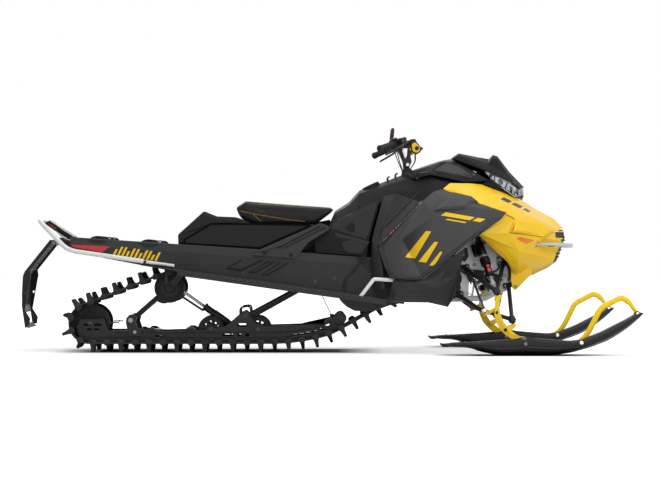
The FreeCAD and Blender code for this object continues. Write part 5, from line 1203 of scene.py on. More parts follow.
def makeTail():
    values = {"tubeRadius": 12.0, "tipRadius": 8.5, "tubeY": 227.3, "flapHalf": 150.0, "flapSkin": 5.0,
              "flapRibs": (-96, -48, 0, 48, 96)}
    y = values["tubeY"]
    side = [(-950, y, 473.3), (-1341, y, 531), (-1492, y - 26, 684)]
    path = rounded(side + [(a, -b, c) for a, b, c in side[::-1]], 46, 9)
    tips = bothSides([rod((-955, y, 474), (-788, y, 449.4), values["tipRadius"], 16, 3)])
    makePiece("rearBumperTube", [tube(path, values["tubeRadius"], 18)] + tips, "white",
              ["rear_bumper"], crease=60)
    clamps = [slab([(-970, 462), (-922, 456), (-922, 446), (-960, 452)], 214, 232),
              boltHead((-940, 240, 471), across, 5, 3)]
    makePiece("rearBumperClamps", bothSides(clamps), "blackPlastic", bevel=0.8)

    half, skin = values["flapHalf"], values["flapSkin"]
    back = vec((-1566, 424), (-1577, 400), (-1583, 383), (-1587, 300), (-1586, 244), (-1580, 205))
    upper = vec((-1441, 577), (-1470, 541), (-1530, 466), (-1561, 427), (-1569, 412))
    edge = [(-1442, 585), (-1573, 421), (-1581, 404), (-1585, 383), (-1589, 242), (-1572, 122), (-1563, 136),
            (-1549, 140), (-1546, 176), (-1573, 219), (-1547, 368), (-1542, 398), (-1546, 426), (-1420, 583)]
    sides = [plate(edge, half - 9, half, holes=[roundHole(-1566, 309, 6.5)]),
             plate([(-1576, 392), (-1562, 404), (-1550, 392), (-1553, 362), (-1572, 352)],
                   half - 2, half + 3),
             ribbon([(-1583, 352), (-1556, 330), (-1578, 232)], 5, half - 9, half + 2.5),
             rod((-1553, half - 8, 168), (-1553, half + 4, 168), 8, 12, 2)]
    flap = [ribbon(back, skin, -half + 4, half - 4), ribbon(upper, skin, -half + 5, half - 5),
            ribbon([(-1566, 150), (-1566, 132), (-1552, 128)], 7, -half + 4, half - 4),
            ribbon([(-1566, 424), (-1550, 430)], 6, -half + 4, half - 4),
            rod((-1430, -half + 2, 576), (-1430, half - 2, 576), 9, 16, 2), *bothSides(sides)]
    for rib in values["flapRibs"]:
        flap += [ribbon(line, 9, rib - 3.5, rib + 3.5) for line in (back[:-1] + vec(2.5, 0), upper[:-1])]
    makePiece("snowFlap", flap, "blackPlastic", ["snow_flap"], bevel=2.0)
    hinges = [boltHead((-1424, half, 571), across, 6, 4),
              rod((-1406, 111, 570), (-1406, 129, 570), 14, 18, 2)]
    makePiece("snowFlapHinges", bothSides(hinges), "steelDark", bevel=0.5)

    housing = [plate([(-1476, 676), (-1454, 685), (-1388, 641), (-1328, 604), (-1332, 586), (-1352, 588),
                      (-1396, 617), (-1448, 655), (-1470, 664)], -95, 95)]
    makePiece("tailLightHousing", housing, "glossBlack", ["tail_light"], bevel=3.0)
    lenses = [plate([(-1462, 682), (-1452, 687), (-1392, 647), (-1398, 640)], -84, 84),
              plate([(-1474, 672), (-1468, 663), (-1420, 629), (-1424, 640)], -84, 84)]
    lenses += bothSides([plate([(-1462, 668), (-1417, 638), (-1414, 646), (-1458, 676)], 90, 97)])
    makePiece("tailLightLens", lenses, "darkRed", bevel=1.5)
    fins = [box((-1455 + 13 * i, -86, 674 - 8.8 * i), (-1452 + 13 * i, 86, 688 - 8.8 * i)) for i in range(4)]
    makePiece("tailLightFins", fins, "blackPlastic", bevel=0.5)


makeTail()
print("tail made")


def deckHeight(x):                     # the tunnel deck falls forwards from its rear corner
    deck = {"rear": -1285.0, "height": 597.0, "fall": 0.0666}
    return deck["height"] - deck["fall"] * (x - deck["rear"])


def boardHeight(x):                    # and so does the running board
    board = {"rear": -760.0, "height": 429.0, "fall": 0.1413}
    return board["height"] - board["fall"] * (x - board["rear"])


def makeTunnelDetails():
    # everything fixed to the tunnel's sides and deck
    values = {"face": 215.0, "hatchBars": 11, "rivets": 26, "toothRows": (240, 300, 358), "boardEnd": 298,
              "cargo": [(x, y) for x in (-1170, -905) for y in (-120, 120)]}
    face = values["face"]

    def deckBand(xs, upper, lower):                # (x, z) corners at two depths below the deck
        return [(x, deckHeight(x) - upper) for x in xs] + [(x, deckHeight(x) - lower) for x in xs[::-1]]

    def sheet(outlines, lift):                     # thin plates on both tunnel sides
        return bothSides([plate(outline, face - 0.5, face + lift) for outline in outlines])

    # a flat lighter band under the deck edge on each side: painted highlight where the edge would catch the
    # overhead light
    makePiece("sideHighlightBands", sheet([deckBand([-1316, -700, 236], 3, 43)], 0.7),
              "tunnelHighlight", bevel=0.4)
    makePiece("sideReflectors", sheet([[(-1326, 560), (-1121, 550), (-1163, 521), (-1310, 546)]], 1.6),
              "red", bevel=0.8)
    bars = []
    for i in range(values["hatchBars"]):
        x = -1108 + 21.5 * i
        low, tall = 508 - 0.148 * (x + 1108), 44 if i % 3 else 28
        bars.append([(x, low), (x + 12, low), (x + 12 + tall * 0.5, low + tall),
                     (x + tall * 0.5, low + tall)])
    makePiece("sideHatch", sheet(bars, 1.3), "yellowPlain")
    ribs = [[(-527, 433), (-446, 421), (-331, 475), (-342, 480), (-446, 433), (-505, 441),
             (-438, 478), (-446, 482)],
            [(-409, 414), (-372, 410), (-268, 469), (-277, 474), (-374, 419), (-395, 421),
             (-294, 473), (-302, 477)],
            [(-342, 401), (-305, 399), (-198, 462), (-207, 466), (-308, 407), (-328, 409),
             (-239, 465), (-247, 469)]]
    makePiece("sideRibs", sheet(ribs, 1.5), "glossBlack", bevel=0.7)
    # darker plates where the deck has recesses: painted shade, laid a little proud of the side instead of
    # sunk into it
    recess = [plate([(x - 56, deckHeight(x) - 3), (x + 66, deckHeight(x) - 10), (x + 30, deckHeight(x) - 30),
                     (x - 8, deckHeight(x) - 28)], 196, 216.6) for x in (-1196, -931)]
    makePiece("deckRecessShades", bothSides(recess), "tunnelShade", bevel=1.0)
    dome = [(0, 0), (0, 4.2), (1.2, 3.9), (2.1, 2.2), (2.3, 0)]
    spacing = -700 + 36.5 * np.arange(values["rivets"])
    rivets = [lathe(dome, (x, 380, boardHeight(x) - 6), across, 8) for x in spacing]
    rivets += [lathe(dome, (x, face, z), across, 8)
               for x, z in ((-786, 512), (-766, 510), (-797, 476), (-756, 464), (-749, 438), (-740, 500),
                            (-60, 480), (20, 474))]
    rivets += [boltHead((x, face, z), across, radius, height)
               for x, z, radius, height in ((40, 386, 6, 3), (-61, 366, 8, 4), (-433, 411, 5, 3))]
    makePiece("tunnelRivets", bothSides(rivets), "rivet")

    def bead(start, upper, lower, inner, outer):       # a bar along the running board, above or below it
        end = values["boardEnd"]
        return slab([(start, boardHeight(start) + upper), (end, boardHeight(end) + upper),
                     (end, boardHeight(end) + lower), (start, boardHeight(start) + lower)], inner, outer)

    beads = [bead(-756, -16, -28, 376, 383.5), bead(-890, 3, -1, 214, 224)]
    makePiece("boardBeads", bothSides(beads), "tunnel", bevel=1.5)
    tooth = post((0, 0), [(-1, 5, 3), (0, 5, 3), (4, 2.5, 1.5)], 0.3)
    teeth = [moved(tooth, (x, y, boardHeight(x))) for i in range(9) for y in values["toothRows"]
             for x in (-700 + 108 * i, -676 + 108 * i, -652 + 108 * i)]
    makePiece("boardTeeth", bothSides(teeth), "tunnel")
    cheek = [(-62, -1), (-62, 9), (-48, 17), (-8, 19), (2, 13), (44, 14), (60, 6), (60, -1)]
    windows = [[(-46, 6), (-42, 13), (-12, 13), (-12, 6)], [(6, 5), (6, 9), (42, 9), (44, 5)]]
    base = [plate(cheek, -20, -12, windows), plate(cheek, 12, 20, windows),
            post((0, 0), [(-1, 58, 14), (4, 58, 14), (5, 57, 13)], 0.2),
            ring([(3, 9), (3, 14), (18, 13), (20, 11), (20, 9)], (-28, 0, 0), up, 24),
            post((28, 0), [(11, 14, 12), (14, 13, 11)], 0.3)]
    mounts = [moved(shape, (x, y, deckHeight(x + 52))) for x, y in values["cargo"] for shape in base]
    makePiece("cargoMounts", mounts, "blackPlastic", ["cargo_mounts"], bevel=1.2)
    hose = smoothPath([(186, 222, 486), (156, 223, 450), (136, 223, 421), (105, 222, 391), (90, 222, 356),
                       (96, 222, 322)], 8)
    hoses = [tube(hose, 5.0, 10), ring([(-4, 5), (-4, 7), (4, 7), (4, 5)], (140, 223, 428), (0.4, 0, 1), 12)]
    makePiece("sideHoses", bothSides(hoses), "softRubber")
    plates = [plate([(150, 486), (190, 508), (226, 470), (312, 430), (312, 396), (262, 404),
                     (196, 446)], 216, 222, [roundHole(196, 478, 7)]),
              boltHead((288, 222, 418), across, 6, 4), boltHead((176, 222, 490), across, 6, 4)]
    makePiece("sideBrackets", bothSides(plates), "blackPlastic", bevel=1.0)


makeTunnelDetails()
print("tunnel details made")


def makeSeatBase():
    # hump in the middle and a raised pad each side, both narrowing upwards
    values = {"hump": 176, "pad": 186, "lean": 54 / 220, "padDepth": -14}

    def halfWidth(outline, wide):
        return wide - values["lean"] * (vec(*outline)[:, 1] - 520)

    def padShapes(outlines, out, into=values["padDepth"]):
        levels = [halfWidth(outline, values["pad"]) for outline in outlines]
        return bothSides([leaned(line, (y + out, y + into)) for line, y in zip(outlines, levels)])

    hump = [(-772, 548), (-776, 612), (-641, 736), (-572, 708), (-476, 704), (-430, 690),
            (-386, 666), (-60, 666), (-60, 500)]
    half = halfWidth(hump, values["hump"])
    makePiece("seatBaseHump", [leaned(hump, (-half, half))], "seatSide", ["seat_base"],
              bevel=9, segments=3)
    pad = [(-736, 584), (-599, 665), (-398, 664), (-96, 659), (-110, 650), (-350, 544), (-736, 566)]
    upper = [(-590, 672), (-470, 672), (-452, 690), (-570, 696), (-636, 724), (-742, 618)]
    makePiece("seatBasePads", padShapes([pad], 3) + padShapes([upper], -5), "seatPad",
              bevel=6, segments=3)
    # near-black strips along the pad's edges and the gap to the strut: painted shadow lines
    lines = [lineBand([(-744, 560), (-741, 586), (-602, 669), (-398, 668), (-84, 663)], 6),
             lineBand([(-744, 561), (-352, 540)], 7), lineBand([(-352, 540), (-92, 655)], 12)]
    makePiece("seatBaseShadowLines", padShapes(lines, 4.5, -10), "shadeBlack")

    def leg(outline, out, thick):          # a plate on the strut's leaning face
        y = np.interp(vec(*outline)[:, 1], [480, 560, 672], [215.5, 215.5, 190]) + out
        return leaned(outline, (y, y + thick))

    struts = [leg([(-385, 503), (-350, 533), (-36, 671), (5, 658), (12, 637), (-98, 568),
                   (-160, 487)], 0, 20),
              leg([(-352, 520), (-346, 530), (-40, 664), (-20, 658), (-230, 556)], 18, 6)]
    makePiece("sideStruts", bothSides(struts), "graphitePlain",
              ["side_struts"], bevel=3.5)
    grooves = [leg([(-254, 546), (-250, 541), (-34, 654), (-38, 659)], 22, 3),
               leg([(-222, 544), (-218, 539), (-6, 646), (-10, 651)], 19.4, 3)]
    makePiece("strutGrooves", bothSides(grooves), "glossBlack")
    bolts = [boltHead((-321, 238, 519), across, 8, 3), boltHead((-186, 236, 508), across, 8, 3)]
    makePiece("strutBolts", bothSides(bolts), "shockBlack", bevel=0.5)


makeSeatBase()


def cushionShape(values):
    # rings along the length: each a rounded section whose top is crowned and whose sides lean in;
    # y = half cos t |cos t|^(k-1), z between floor and top by sin t |sin t|^(k-1)
    corners = vec(*values["stations"])     # x, floor, top, half width at the floor, half width at the top
    reach = np.arange(corners[0, 0], corners[-1, 0] + 0.1, 4.0)
    x = np.stack([reach] + [np.interp(reach, corners[:, 0], corners[:, k]) for k in (1, 2, 3, 4)], axis=1)
    t = np.linspace(0, 2 * math.pi, 56, endpoint=False)
    power = 0.34
    c, s = np.sign(np.cos(t)) * np.abs(np.cos(t)) ** power, np.sign(np.sin(t)) * np.abs(np.sin(t)) ** power
    middle, tall = (x[:, 1] + x[:, 2]) / 2, (x[:, 2] - x[:, 1]) / 2
    share = (s[None] + 1) / 2
    y = c[None] * (x[:, 3:4] + (x[:, 4:5] - x[:, 3:4]) * share)
    z = middle[:, None] + tall[:, None] * s[None]
    points = np.stack([np.broadcast_to(x[:, :1], y.shape), y, z], axis=2)
    return surface(points, capped=True)


def swollen(shape, values):
    # the form remeshed, blown up by cloth pressure with its floor held, each point's movement capped
    form = bpy.data.objects.new("seatForm", meshOf("seatForm", shape, 180))
    bpy.context.scene.collection.objects.link(form)
    remesh = form.modifiers.new("remesh", "REMESH")
    remesh.mode, remesh.voxel_size = "VOXEL", values["voxel"] * toMetres
    graph = bpy.context.evaluated_depsgraph_get()
    dense = bpy.data.meshes.new_from_object(form.evaluated_get(graph))
    form.modifiers.clear()
    form.data = dense
    start = spots(dense)
    held = form.vertex_groups.new(name="held")
    held.add(np.nonzero(start[:, 2] < values["held"] * toMetres)[0].tolist(), 1.0, "REPLACE")
    cloth = form.modifiers.new("cloth", "CLOTH")
    cloth.settings.quality, cloth.settings.mass = 5, 0.3
    cloth.settings.use_pressure, cloth.settings.uniform_pressure_force = True, values["pressure"]
    cloth.settings.effector_weights.gravity = 0.0
    cloth.settings.vertex_group_mass = "held"
    cloth.collision_settings.use_collision = False
    for step in range(1, values["steps"] + 1):
        bpy.context.scene.frame_set(step)
        bpy.context.view_layer.update()
    graph = bpy.context.evaluated_depsgraph_get()
    blown = bpy.data.meshes.new_from_object(form.evaluated_get(graph))
    shift = spots(blown) - start
    form.modifiers.clear()
    bpy.context.scene.frame_set(1)
    reach = np.linalg.norm(shift, axis=1)[:, None]
    limit = values["cap"] * toMetres
    start = start + shift * np.minimum(1.0, limit / np.maximum(reach, 1e-9))
    bpy.data.objects.remove(form)
    return dense, start


def sewn(points, lines, depth, width):
    # points near a seam line sink towards the middle: depth exp(-(distance / width)^2)
    centre = np.array([points[:, 0].mean(), 0, points[:, 2].mean()])
    for line in lines:
        line = np.asarray(line) * toMetres
        away = np.min(np.linalg.norm(points[:, None] - line[None], axis=2), axis=1)
        sink = depth * toMetres * np.exp(-(away / (width * toMetres)) ** 2)
        inward = np.stack([0 * away, -np.sign(points[:, 1]) * 0.8, (centre[2] - points[:, 2]) * 12], axis=1)
        inward /= np.maximum(np.linalg.norm(inward, axis=1), 1e-9)[:, None]
        points = points + inward * sink[:, None]
    return points


def makeSeat():
    values = {
        "stations": [(-474, 744, 753, 104, 102), (-468, 735, 758, 116, 108), (-446, 702, 771, 132, 118),
                     (-427, 691, 786, 138, 122), (-383, 667, 782, 146, 126), (-333, 666, 778, 148, 127),
                     (-200, 666, 768, 147, 126), (-64, 666, 758, 142, 121), (-20, 700, 755, 134, 115),
                     (22, 731, 752, 120, 106), (38, 741, 745, 108, 100)],
        "voxel": 5.0, "pressure": 4.0, "steps": 20, "cap": 3.5, "held": 672.0, "seamDepth": 2.6,
        "seamWidth": 6.0,
    }
    dense, points = swollen(cushionShape(values), values)
    seams = []
    for s in (-1, 1):
        seams.append(smoothPath([(-424, s * 116, 785), (-380, s * 122, 783), (-200, s * 124, 771),
                                 (10, s * 112, 756)], 12))
        seams.append(smoothPath([(-458, s * 118, 738), (-385, s * 146, 722), (-303, s * 149, 707),
                                 (-112, s * 150, 674)], 12))
        seams.append(smoothPath([(-385, s * 146, 722), (-360, s * 148, 697), (-340, s * 149, 674)], 12))
    seams.append(smoothPath([(-424, -116, 786), (-424, 0, 790), (-424, 116, 786)], 14))
    points = sewn(points, seams, values["seamDepth"], values["seamWidth"])
    dense.vertices.foreach_set("co", points.ravel())
    dense.update()
    dense.name = "seatCushion"
    dense.shade_smooth()
    cushion = bpy.data.objects.new("seatCushion", dense)
    smooth = cushion.modifiers.new("smooth", "SUBSURF")
    smooth.levels = smooth.render_levels = 1
    place(cushion, chassis, materials["seat"], ["seat"])
    threads = []
    for line in seams:
        count = len(line)
        flat = bpy.data.meshes.new("seam")
        flat.from_pydata((line * toMetres).tolist(), [(i, i + 1) for i in range(count - 1)], [])
        laid = wrapped(flat, cushion, "NEAREST_SURFACEPOINT", 0.7)
        path = spots(laid) / toMetres
        run = np.concatenate([[0], np.cumsum(np.linalg.norm(np.diff(path, axis=0), axis=1))])
        for offset in (-1.6, 1.6):
            starts = np.arange(2.0, run[-1] - 6, 6.5)
            for a in starts:
                ends = np.stack([np.interp([a, a + 2.2, a + 4.6], run, path[:, k]) for k in range(3)], axis=1)
                ends[:, 2] += offset
                threads.append(tube(ends, [0.5, 0.95, 0.5], 5))
    makePiece("seatStitches", threads, "thread")


makeSeat()
print("seat made")


def eased(outline, rounds=2, share=0.22):
    # corners of a closed outline cut: each corner p becomes p + share (before - p) and p + share (after - p)
    outline = np.asarray(outline, float)
    for _ in range(rounds):
        before, after = np.roll(outline, 1, axis=0), np.roll(outline, -1, axis=0)
        outline = np.stack([outline + share * (before - outline), outline + share * (after - outline)],
                           axis=1).reshape(-1, outline.shape[1])
    return outline


def onSide(label, shapes):
    return shapes if label == "left" else [mirroredShape(s) for s in shapes]


def makeSkis():
    # sections along the ski in (y, z): keel, curved bottom, side wall, deck and a raised middle with a slot
    # for the spindle's foot; each station is x, bottom, top, half width
    values = {
        "centre": 455.0, "ridge": 31.0, "slot": 22.0, "pin": (991, 60), "foot": (990, 76),
        "stations": [(572, 50, 58, 34), (606, 46, 60, 54), (640, 42, 64, 66), (705, 38, 66, 78),
                     (763, 24, 70, 82), (864, 1, 76, 84), (944, 0, 84, 84), (1000, 0, 94, 84),
                     (1060, 0, 86, 84), (1124, 1, 80, 84), (1180, 7, 76, 84), (1239, 18, 74, 84),
                     (1300, 34, 88, 83), (1377, 60, 117, 81), (1427, 82, 142, 77), (1503, 130, 180, 64),
                     (1560, 176, 212, 46), (1590, 206, 216, 30)],
        "deckBars": [*range(668, 912, 30), *range(1072, 1240, 30)],
        "sideBars": (1085, 1110, 1135, 1160, 1185, 800, 830, 860),
    }
    c = values["centre"]
    stations = smoothPath(values["stations"], 4)
    x = np.unique(np.concatenate([stations[:, 0], [934, 935.5, 1045.5, 1047]]))
    low, high, half = (np.interp(x, stations[:, 0], stations[:, k]) for k in (1, 2, 3))
    tall = high - low
    ridge = np.minimum(values["ridge"], half * 0.5)
    slot = np.minimum(values["slot"], ridge * 0.7)
    floor = np.where((x > 935) & (x < 1046),
                     np.interp(x, [935.5, 955, 1030, 1045.5], [60, 44, 44, 64]), high - 0.4)
    rows = [(0 * x, low), (0 * x + 13, low), (0 * x + 19, low + 0.09 * tall),
            (half * 0.55, low + 0.13 * tall), (half * 0.86, low + 0.27 * tall),
            (half * 0.97, low + 0.45 * tall), (half * 0.955, low + 0.49 * tall),
            (half * 0.955, low + 0.54 * tall), (half * 0.985, low + 0.58 * tall), (half, low + 0.78 * tall),
            (half - 1.5, low + 0.9 * tall), (half - 6, low + 0.9 * tall), (half - 8, low + 0.78 * tall),
            (ridge + 7, low + 0.72 * tall), (ridge + 1, high - 0.06 * tall), (ridge - 3, high),
            (slot + 1.5, high), (slot, floor), (0 * x, floor)]
    right = np.stack([np.stack([0 * x, y, z], axis=1) for y, z in rows], axis=1)
    sections = np.concatenate([right, right[:, -2:0:-1] * vec(1, -1, 1)], axis=1)
    blade = surface(sections + np.stack([x, 0 * x + c, 0 * x], axis=1)[:, None], capped=True)

    def at(a, row):                        # the value of one of the rows above at x = a
        return float(np.interp(a, x, row))

    ribs = []
    for a in values["deckBars"]:
        z = at(a, low + 0.74 * tall)
        ribs.append(box((a, 40, z - 3), (a + 7, at(a, half) - 9, z + 8)))
    for a in values["sideBars"]:
        z = at(a, low + 0.6 * tall)
        ribs.append(box((a, 76, z), (a + 4, 85.5, z + 17)))
    ribs.append(tube(rounded([(640, 30, 54), (600, 24, 47), (582, 22, 46), (571, 22, 60)], 9, 5), 5.0, 10))
    (px, pz), (fx, fz) = values["pin"], values["foot"]
    sleeve = lathe([(-86, 0), (-86, 11), (-84, 15), (84, 15), (86, 11), (86, 0)], (px, c, pz), across, 28)
    pins = [rod((fx, c - 38, fz), (fx, c + 38, fz), 7, 16),
            *pairedAt(c, [boltHead((fx, 33, fz), across, 11, 6), boltHead((px, 86, pz), across, 6, 3)])]
    bar = smoothPath([(748, c, 29), (800, c, 16), (864, c, 4.5), (900, c, 3), (1090, c, 3), (1160, c, 7),
                      (1226, c, 17), (1262, c, 26)], 6)
    for label in ("left", "right"):
        body = nodes["ski_" + label]["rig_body"]
        makePiece(label + "Ski", onSide(label, [blade]), "skiPlastic", ["ski_" + label],
                  body=body, bevel=0.8, crease=28)
        makePiece(label + "SkiDetails", onSide(label, pairedAt(c, ribs) + [sleeve]),
                  "skiPlastic", body=body, bevel=1.2)
        makePiece(label + "SkiRunner", onSide(label, [tube(bar, 4.0, 8)]),
                  "steel", body=body)
        makePiece(label + "SkiPins", onSide(label, pins), "steelDark", body=body, bevel=0.5)


def makeSkiLoops():
    values = {"centre": 455.0, "wide": 14.5, "across": 9.0, "rear": (1268, 68), "front": (1563, 209)}
    c, (rx, rz), (fx, fz) = (values[k] for k in ("centre", "rear", "front"))
    path = rounded([(1262, c, 66), (1312, c, 106), (1345, c, 168), (1378, c, 238), (1485, c, 293),
                    (1520, c, 272), (1566, c, 208)], 26, 7)
    reach = np.linspace(0, 1, len(path))
    thin = 1 - 0.35 * np.exp(-(reach / 0.07) ** 2) - 0.35 * np.exp(-((1 - reach) / 0.07) ** 2)
    flat = np.sign(circle(20)) * np.abs(circle(20)) ** 0.75
    sizes = np.stack([thin * values["wide"], 0 * thin + values["across"]], axis=1)
    loop = [carried(flat, path, sizes, hint=across),
            rod((rx, c - 13, rz), (rx, c + 13, rz), 13, 20, 2),
            rod((fx, c - 13, fz), (fx, c + 13, fz), 13, 20, 2)]
    clevis = pairedAt(c, [rod((fx, 18, fz), (fx, 24, fz), 15, 20, 2)])
    bolts = pairedAt(c, [lathe([(-3, 0), (-3, 10), (2, 10), (5, 7), (6, 0)], (1272, 81, 66), across, 20),
                         lathe([(-6, 0), (-6, 9), (2, 9), (5, 6), (6, 0)], (fx, 28, fz), across, 20)])
    for label in ("left", "right"):
        body = nodes["ski_loop_" + label]["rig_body"]
        makePiece(label + "Loop", onSide(label, loop), "yellowLoop", ["ski_loop_" + label],
                  body=body, bevel=0.8, crease=50)
        makePiece(label + "LoopClevis", onSide(label, clevis), "skiPlastic",
                  body=body, bevel=1.0)
        makePiece(label + "LoopBolts", onSide(label, bolts), "chrome", body=body)


def makeSpindles():
    # a forged plate outside the steering axis with a pad below the upper eye and a horn below the lower one
    values = {"low": vec(938, 400, 178), "pivot": unit((-78, 0, 144)), "span": 163.8,
              "tie": vec(807.3, 400, 207.3)}
    low, pivot, tie = values["low"], values["pivot"], values["tie"]
    forging = [
        slab(eased([(846, 292), (880, 310), (884, 298), (869, 272), (873, 205), (903, 150),
                    (925, 128), (944, 112), (975, 92), (962, 66), (936, 76), (906, 96), (870, 132),
                    (843, 196), (850, 262)]), 424, 446),
        slab(eased([(846, 292), (880, 310), (884, 298), (869, 268), (852, 262)], 1), 391, 440),
        slab(eased([(900, 140), (948, 160.5), (957, 154), (950, 140), (926, 122), (908, 128)], 1), 391, 440),
        slab(eased([(905, 96), (940, 112), (975, 94), (1010, 92), (1013, 74), (1006, 59),
                    (990, 53), (972, 58), (950, 68)], 2, 0.2), 439, 471),
        rod(low + pivot * 88 + vec(-28, 30, -15), tie + vec(0, 4, 0), 9.5, 14, 2),
        rod(tie - pivot * 8, tie + pivot * 6, 15, 20, 2),
        slab(eased([(866, 250), (868, 205), (896, 150), (930, 116), (956, 98), (948, 92),
                    (912, 112), (880, 148), (856, 200)], 1), 445, 449),
    ]
    joints = [lathe([(4, 0), (4, 10), (11, 9), (12, 6), (32, 6), (32, 10), (38, 10), (38, 0)], tie, pivot,
                    16),
              boltHead((900, 449, 128), across, 6, 3), boltHead((858, 446, 215), across, 6, 3),
              lathe([(-19, 7.5), (-19, 14), (-16.5, 14), (-16.5, 7.5)], (990, 455, 76), across, 20),
              lathe([(16.5, 7.5), (16.5, 14), (19, 14), (19, 7.5)], (990, 455, 76), across, 20)]
    for at in (0, values["span"]):
        foot = low + pivot * (at - 20.5)
        joints += [lathe([(0, 0), (0, 13), (3, 14), (5, 11), (7.2, 10), (7.2, 0)], foot, pivot, 20),
                   lathe([(0, 0), (0, 9), (38, 9), (38, 12), (43, 12), (44, 8), (44, 0)], foot, pivot, 18)]
    for label in ("left", "right"):
        body = nodes["spindle_" + label]["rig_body"]
        makePiece(label + "Spindle", onSide(label, forging), "yellowMetal",
                  ["spindle_" + label], body=body, bevel=4.0, segments=3)
        makePiece(label + "SpindleJoints", onSide(label, joints), "blackSteel",
                  body=body, bevel=0.4)


def makeFrontShocks():
    # everything is turned about the line from head to foot, at distances from the head
    values = {"head": vec(784, 186, 586), "foot": vec(847.5, 326, 360), "markRadius": 18.9, "markTurn": 0.25}
    head, foot = values["head"], values["foot"]
    axis = unit(foot - head)
    out = unit(across - axis * axis[1])
    side = np.cross(axis, out)
    black = [
        lathe([(10, 0), (10, 15), (18, 20), (22, 21.5), (96, 21.5), (100, 19), (104, 19), (104, 0)],
              head, axis, 32),
        lathe([(118, 0), (118, 24), (121, 26.5), (132, 26.5), (134, 25), (136, 26.5), (146, 26.5), (148, 25),
               (151, 26.5), (158, 26.5), (161, 22), (161, 0)], head, axis, 32),
        lathe([(160, 0), (160, 18.5), (214, 18.5), (216, 22), (226, 22), (229, 17), (229, 0)],
              head, axis, 32),
        lathe([(-17, 0), (-17, 9), (-15, 15), (15, 15), (17, 9), (17, 0)], head, across, 24),
        lathe([(0, 0), (0, 5), (12, 5), (14, 3), (14, 0)], head + axis * 30 + side * 21, side, 12),
        rod(head + axis * 24 - side * 34, head + axis * 92 - side * 34, 13, 20, 3),
        rod(head + axis * 40 - side * 30, head + axis * 40 - side * 16, 8, 12, 2),
    ]
    silver = [
        lathe([(103, 0), (103, 23), (105, 24.5), (111, 24.5), (113, 22), (119, 22), (119, 0)],
              head, axis, 32),
        lathe([(228, 0), (228, 8), (258, 8), (258, 0)], head, axis, 20),
        lathe([(240, 8), (240, 14), (244, 14), (244, 8)], head, axis, 20),
        lathe([(250, 0), (250, 12), (262, 13), (272, 12), (272, 0)], head, axis, 20),
        lathe([(-14, 0), (-14, 13), (14, 13), (14, 0)], foot, across, 24),
        lathe([(-22, 0), (-22, 6.5), (22, 6.5), (22, 0)], foot, across, 14),
    ]
    turn = np.linspace(-0.5, 0.5, 7)[:, None] + values["markTurn"]
    arc = (out * np.cos(turn) + side * np.sin(turn)) * values["markRadius"]
    marks = []
    for span in ((168, 182), (188, 210)):
        rim = np.stack([head + axis * distance + arc for distance in span])
        marks.append(surface(np.concatenate([rim, rim[:, ::-1] - out * 1.2], axis=1), capped=True))
    body = nodes["front_shocks"]["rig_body"]
    makePiece("frontShockBodies", bothSides(black), "shockBlack", ["front_shocks"],
              body=body, bevel=0.5)
    makePiece("frontShockRods", bothSides(silver), "steelMid", body=body, bevel=0.4)
    makePiece("frontShockMarks", bothSides(marks), "red", body=body)


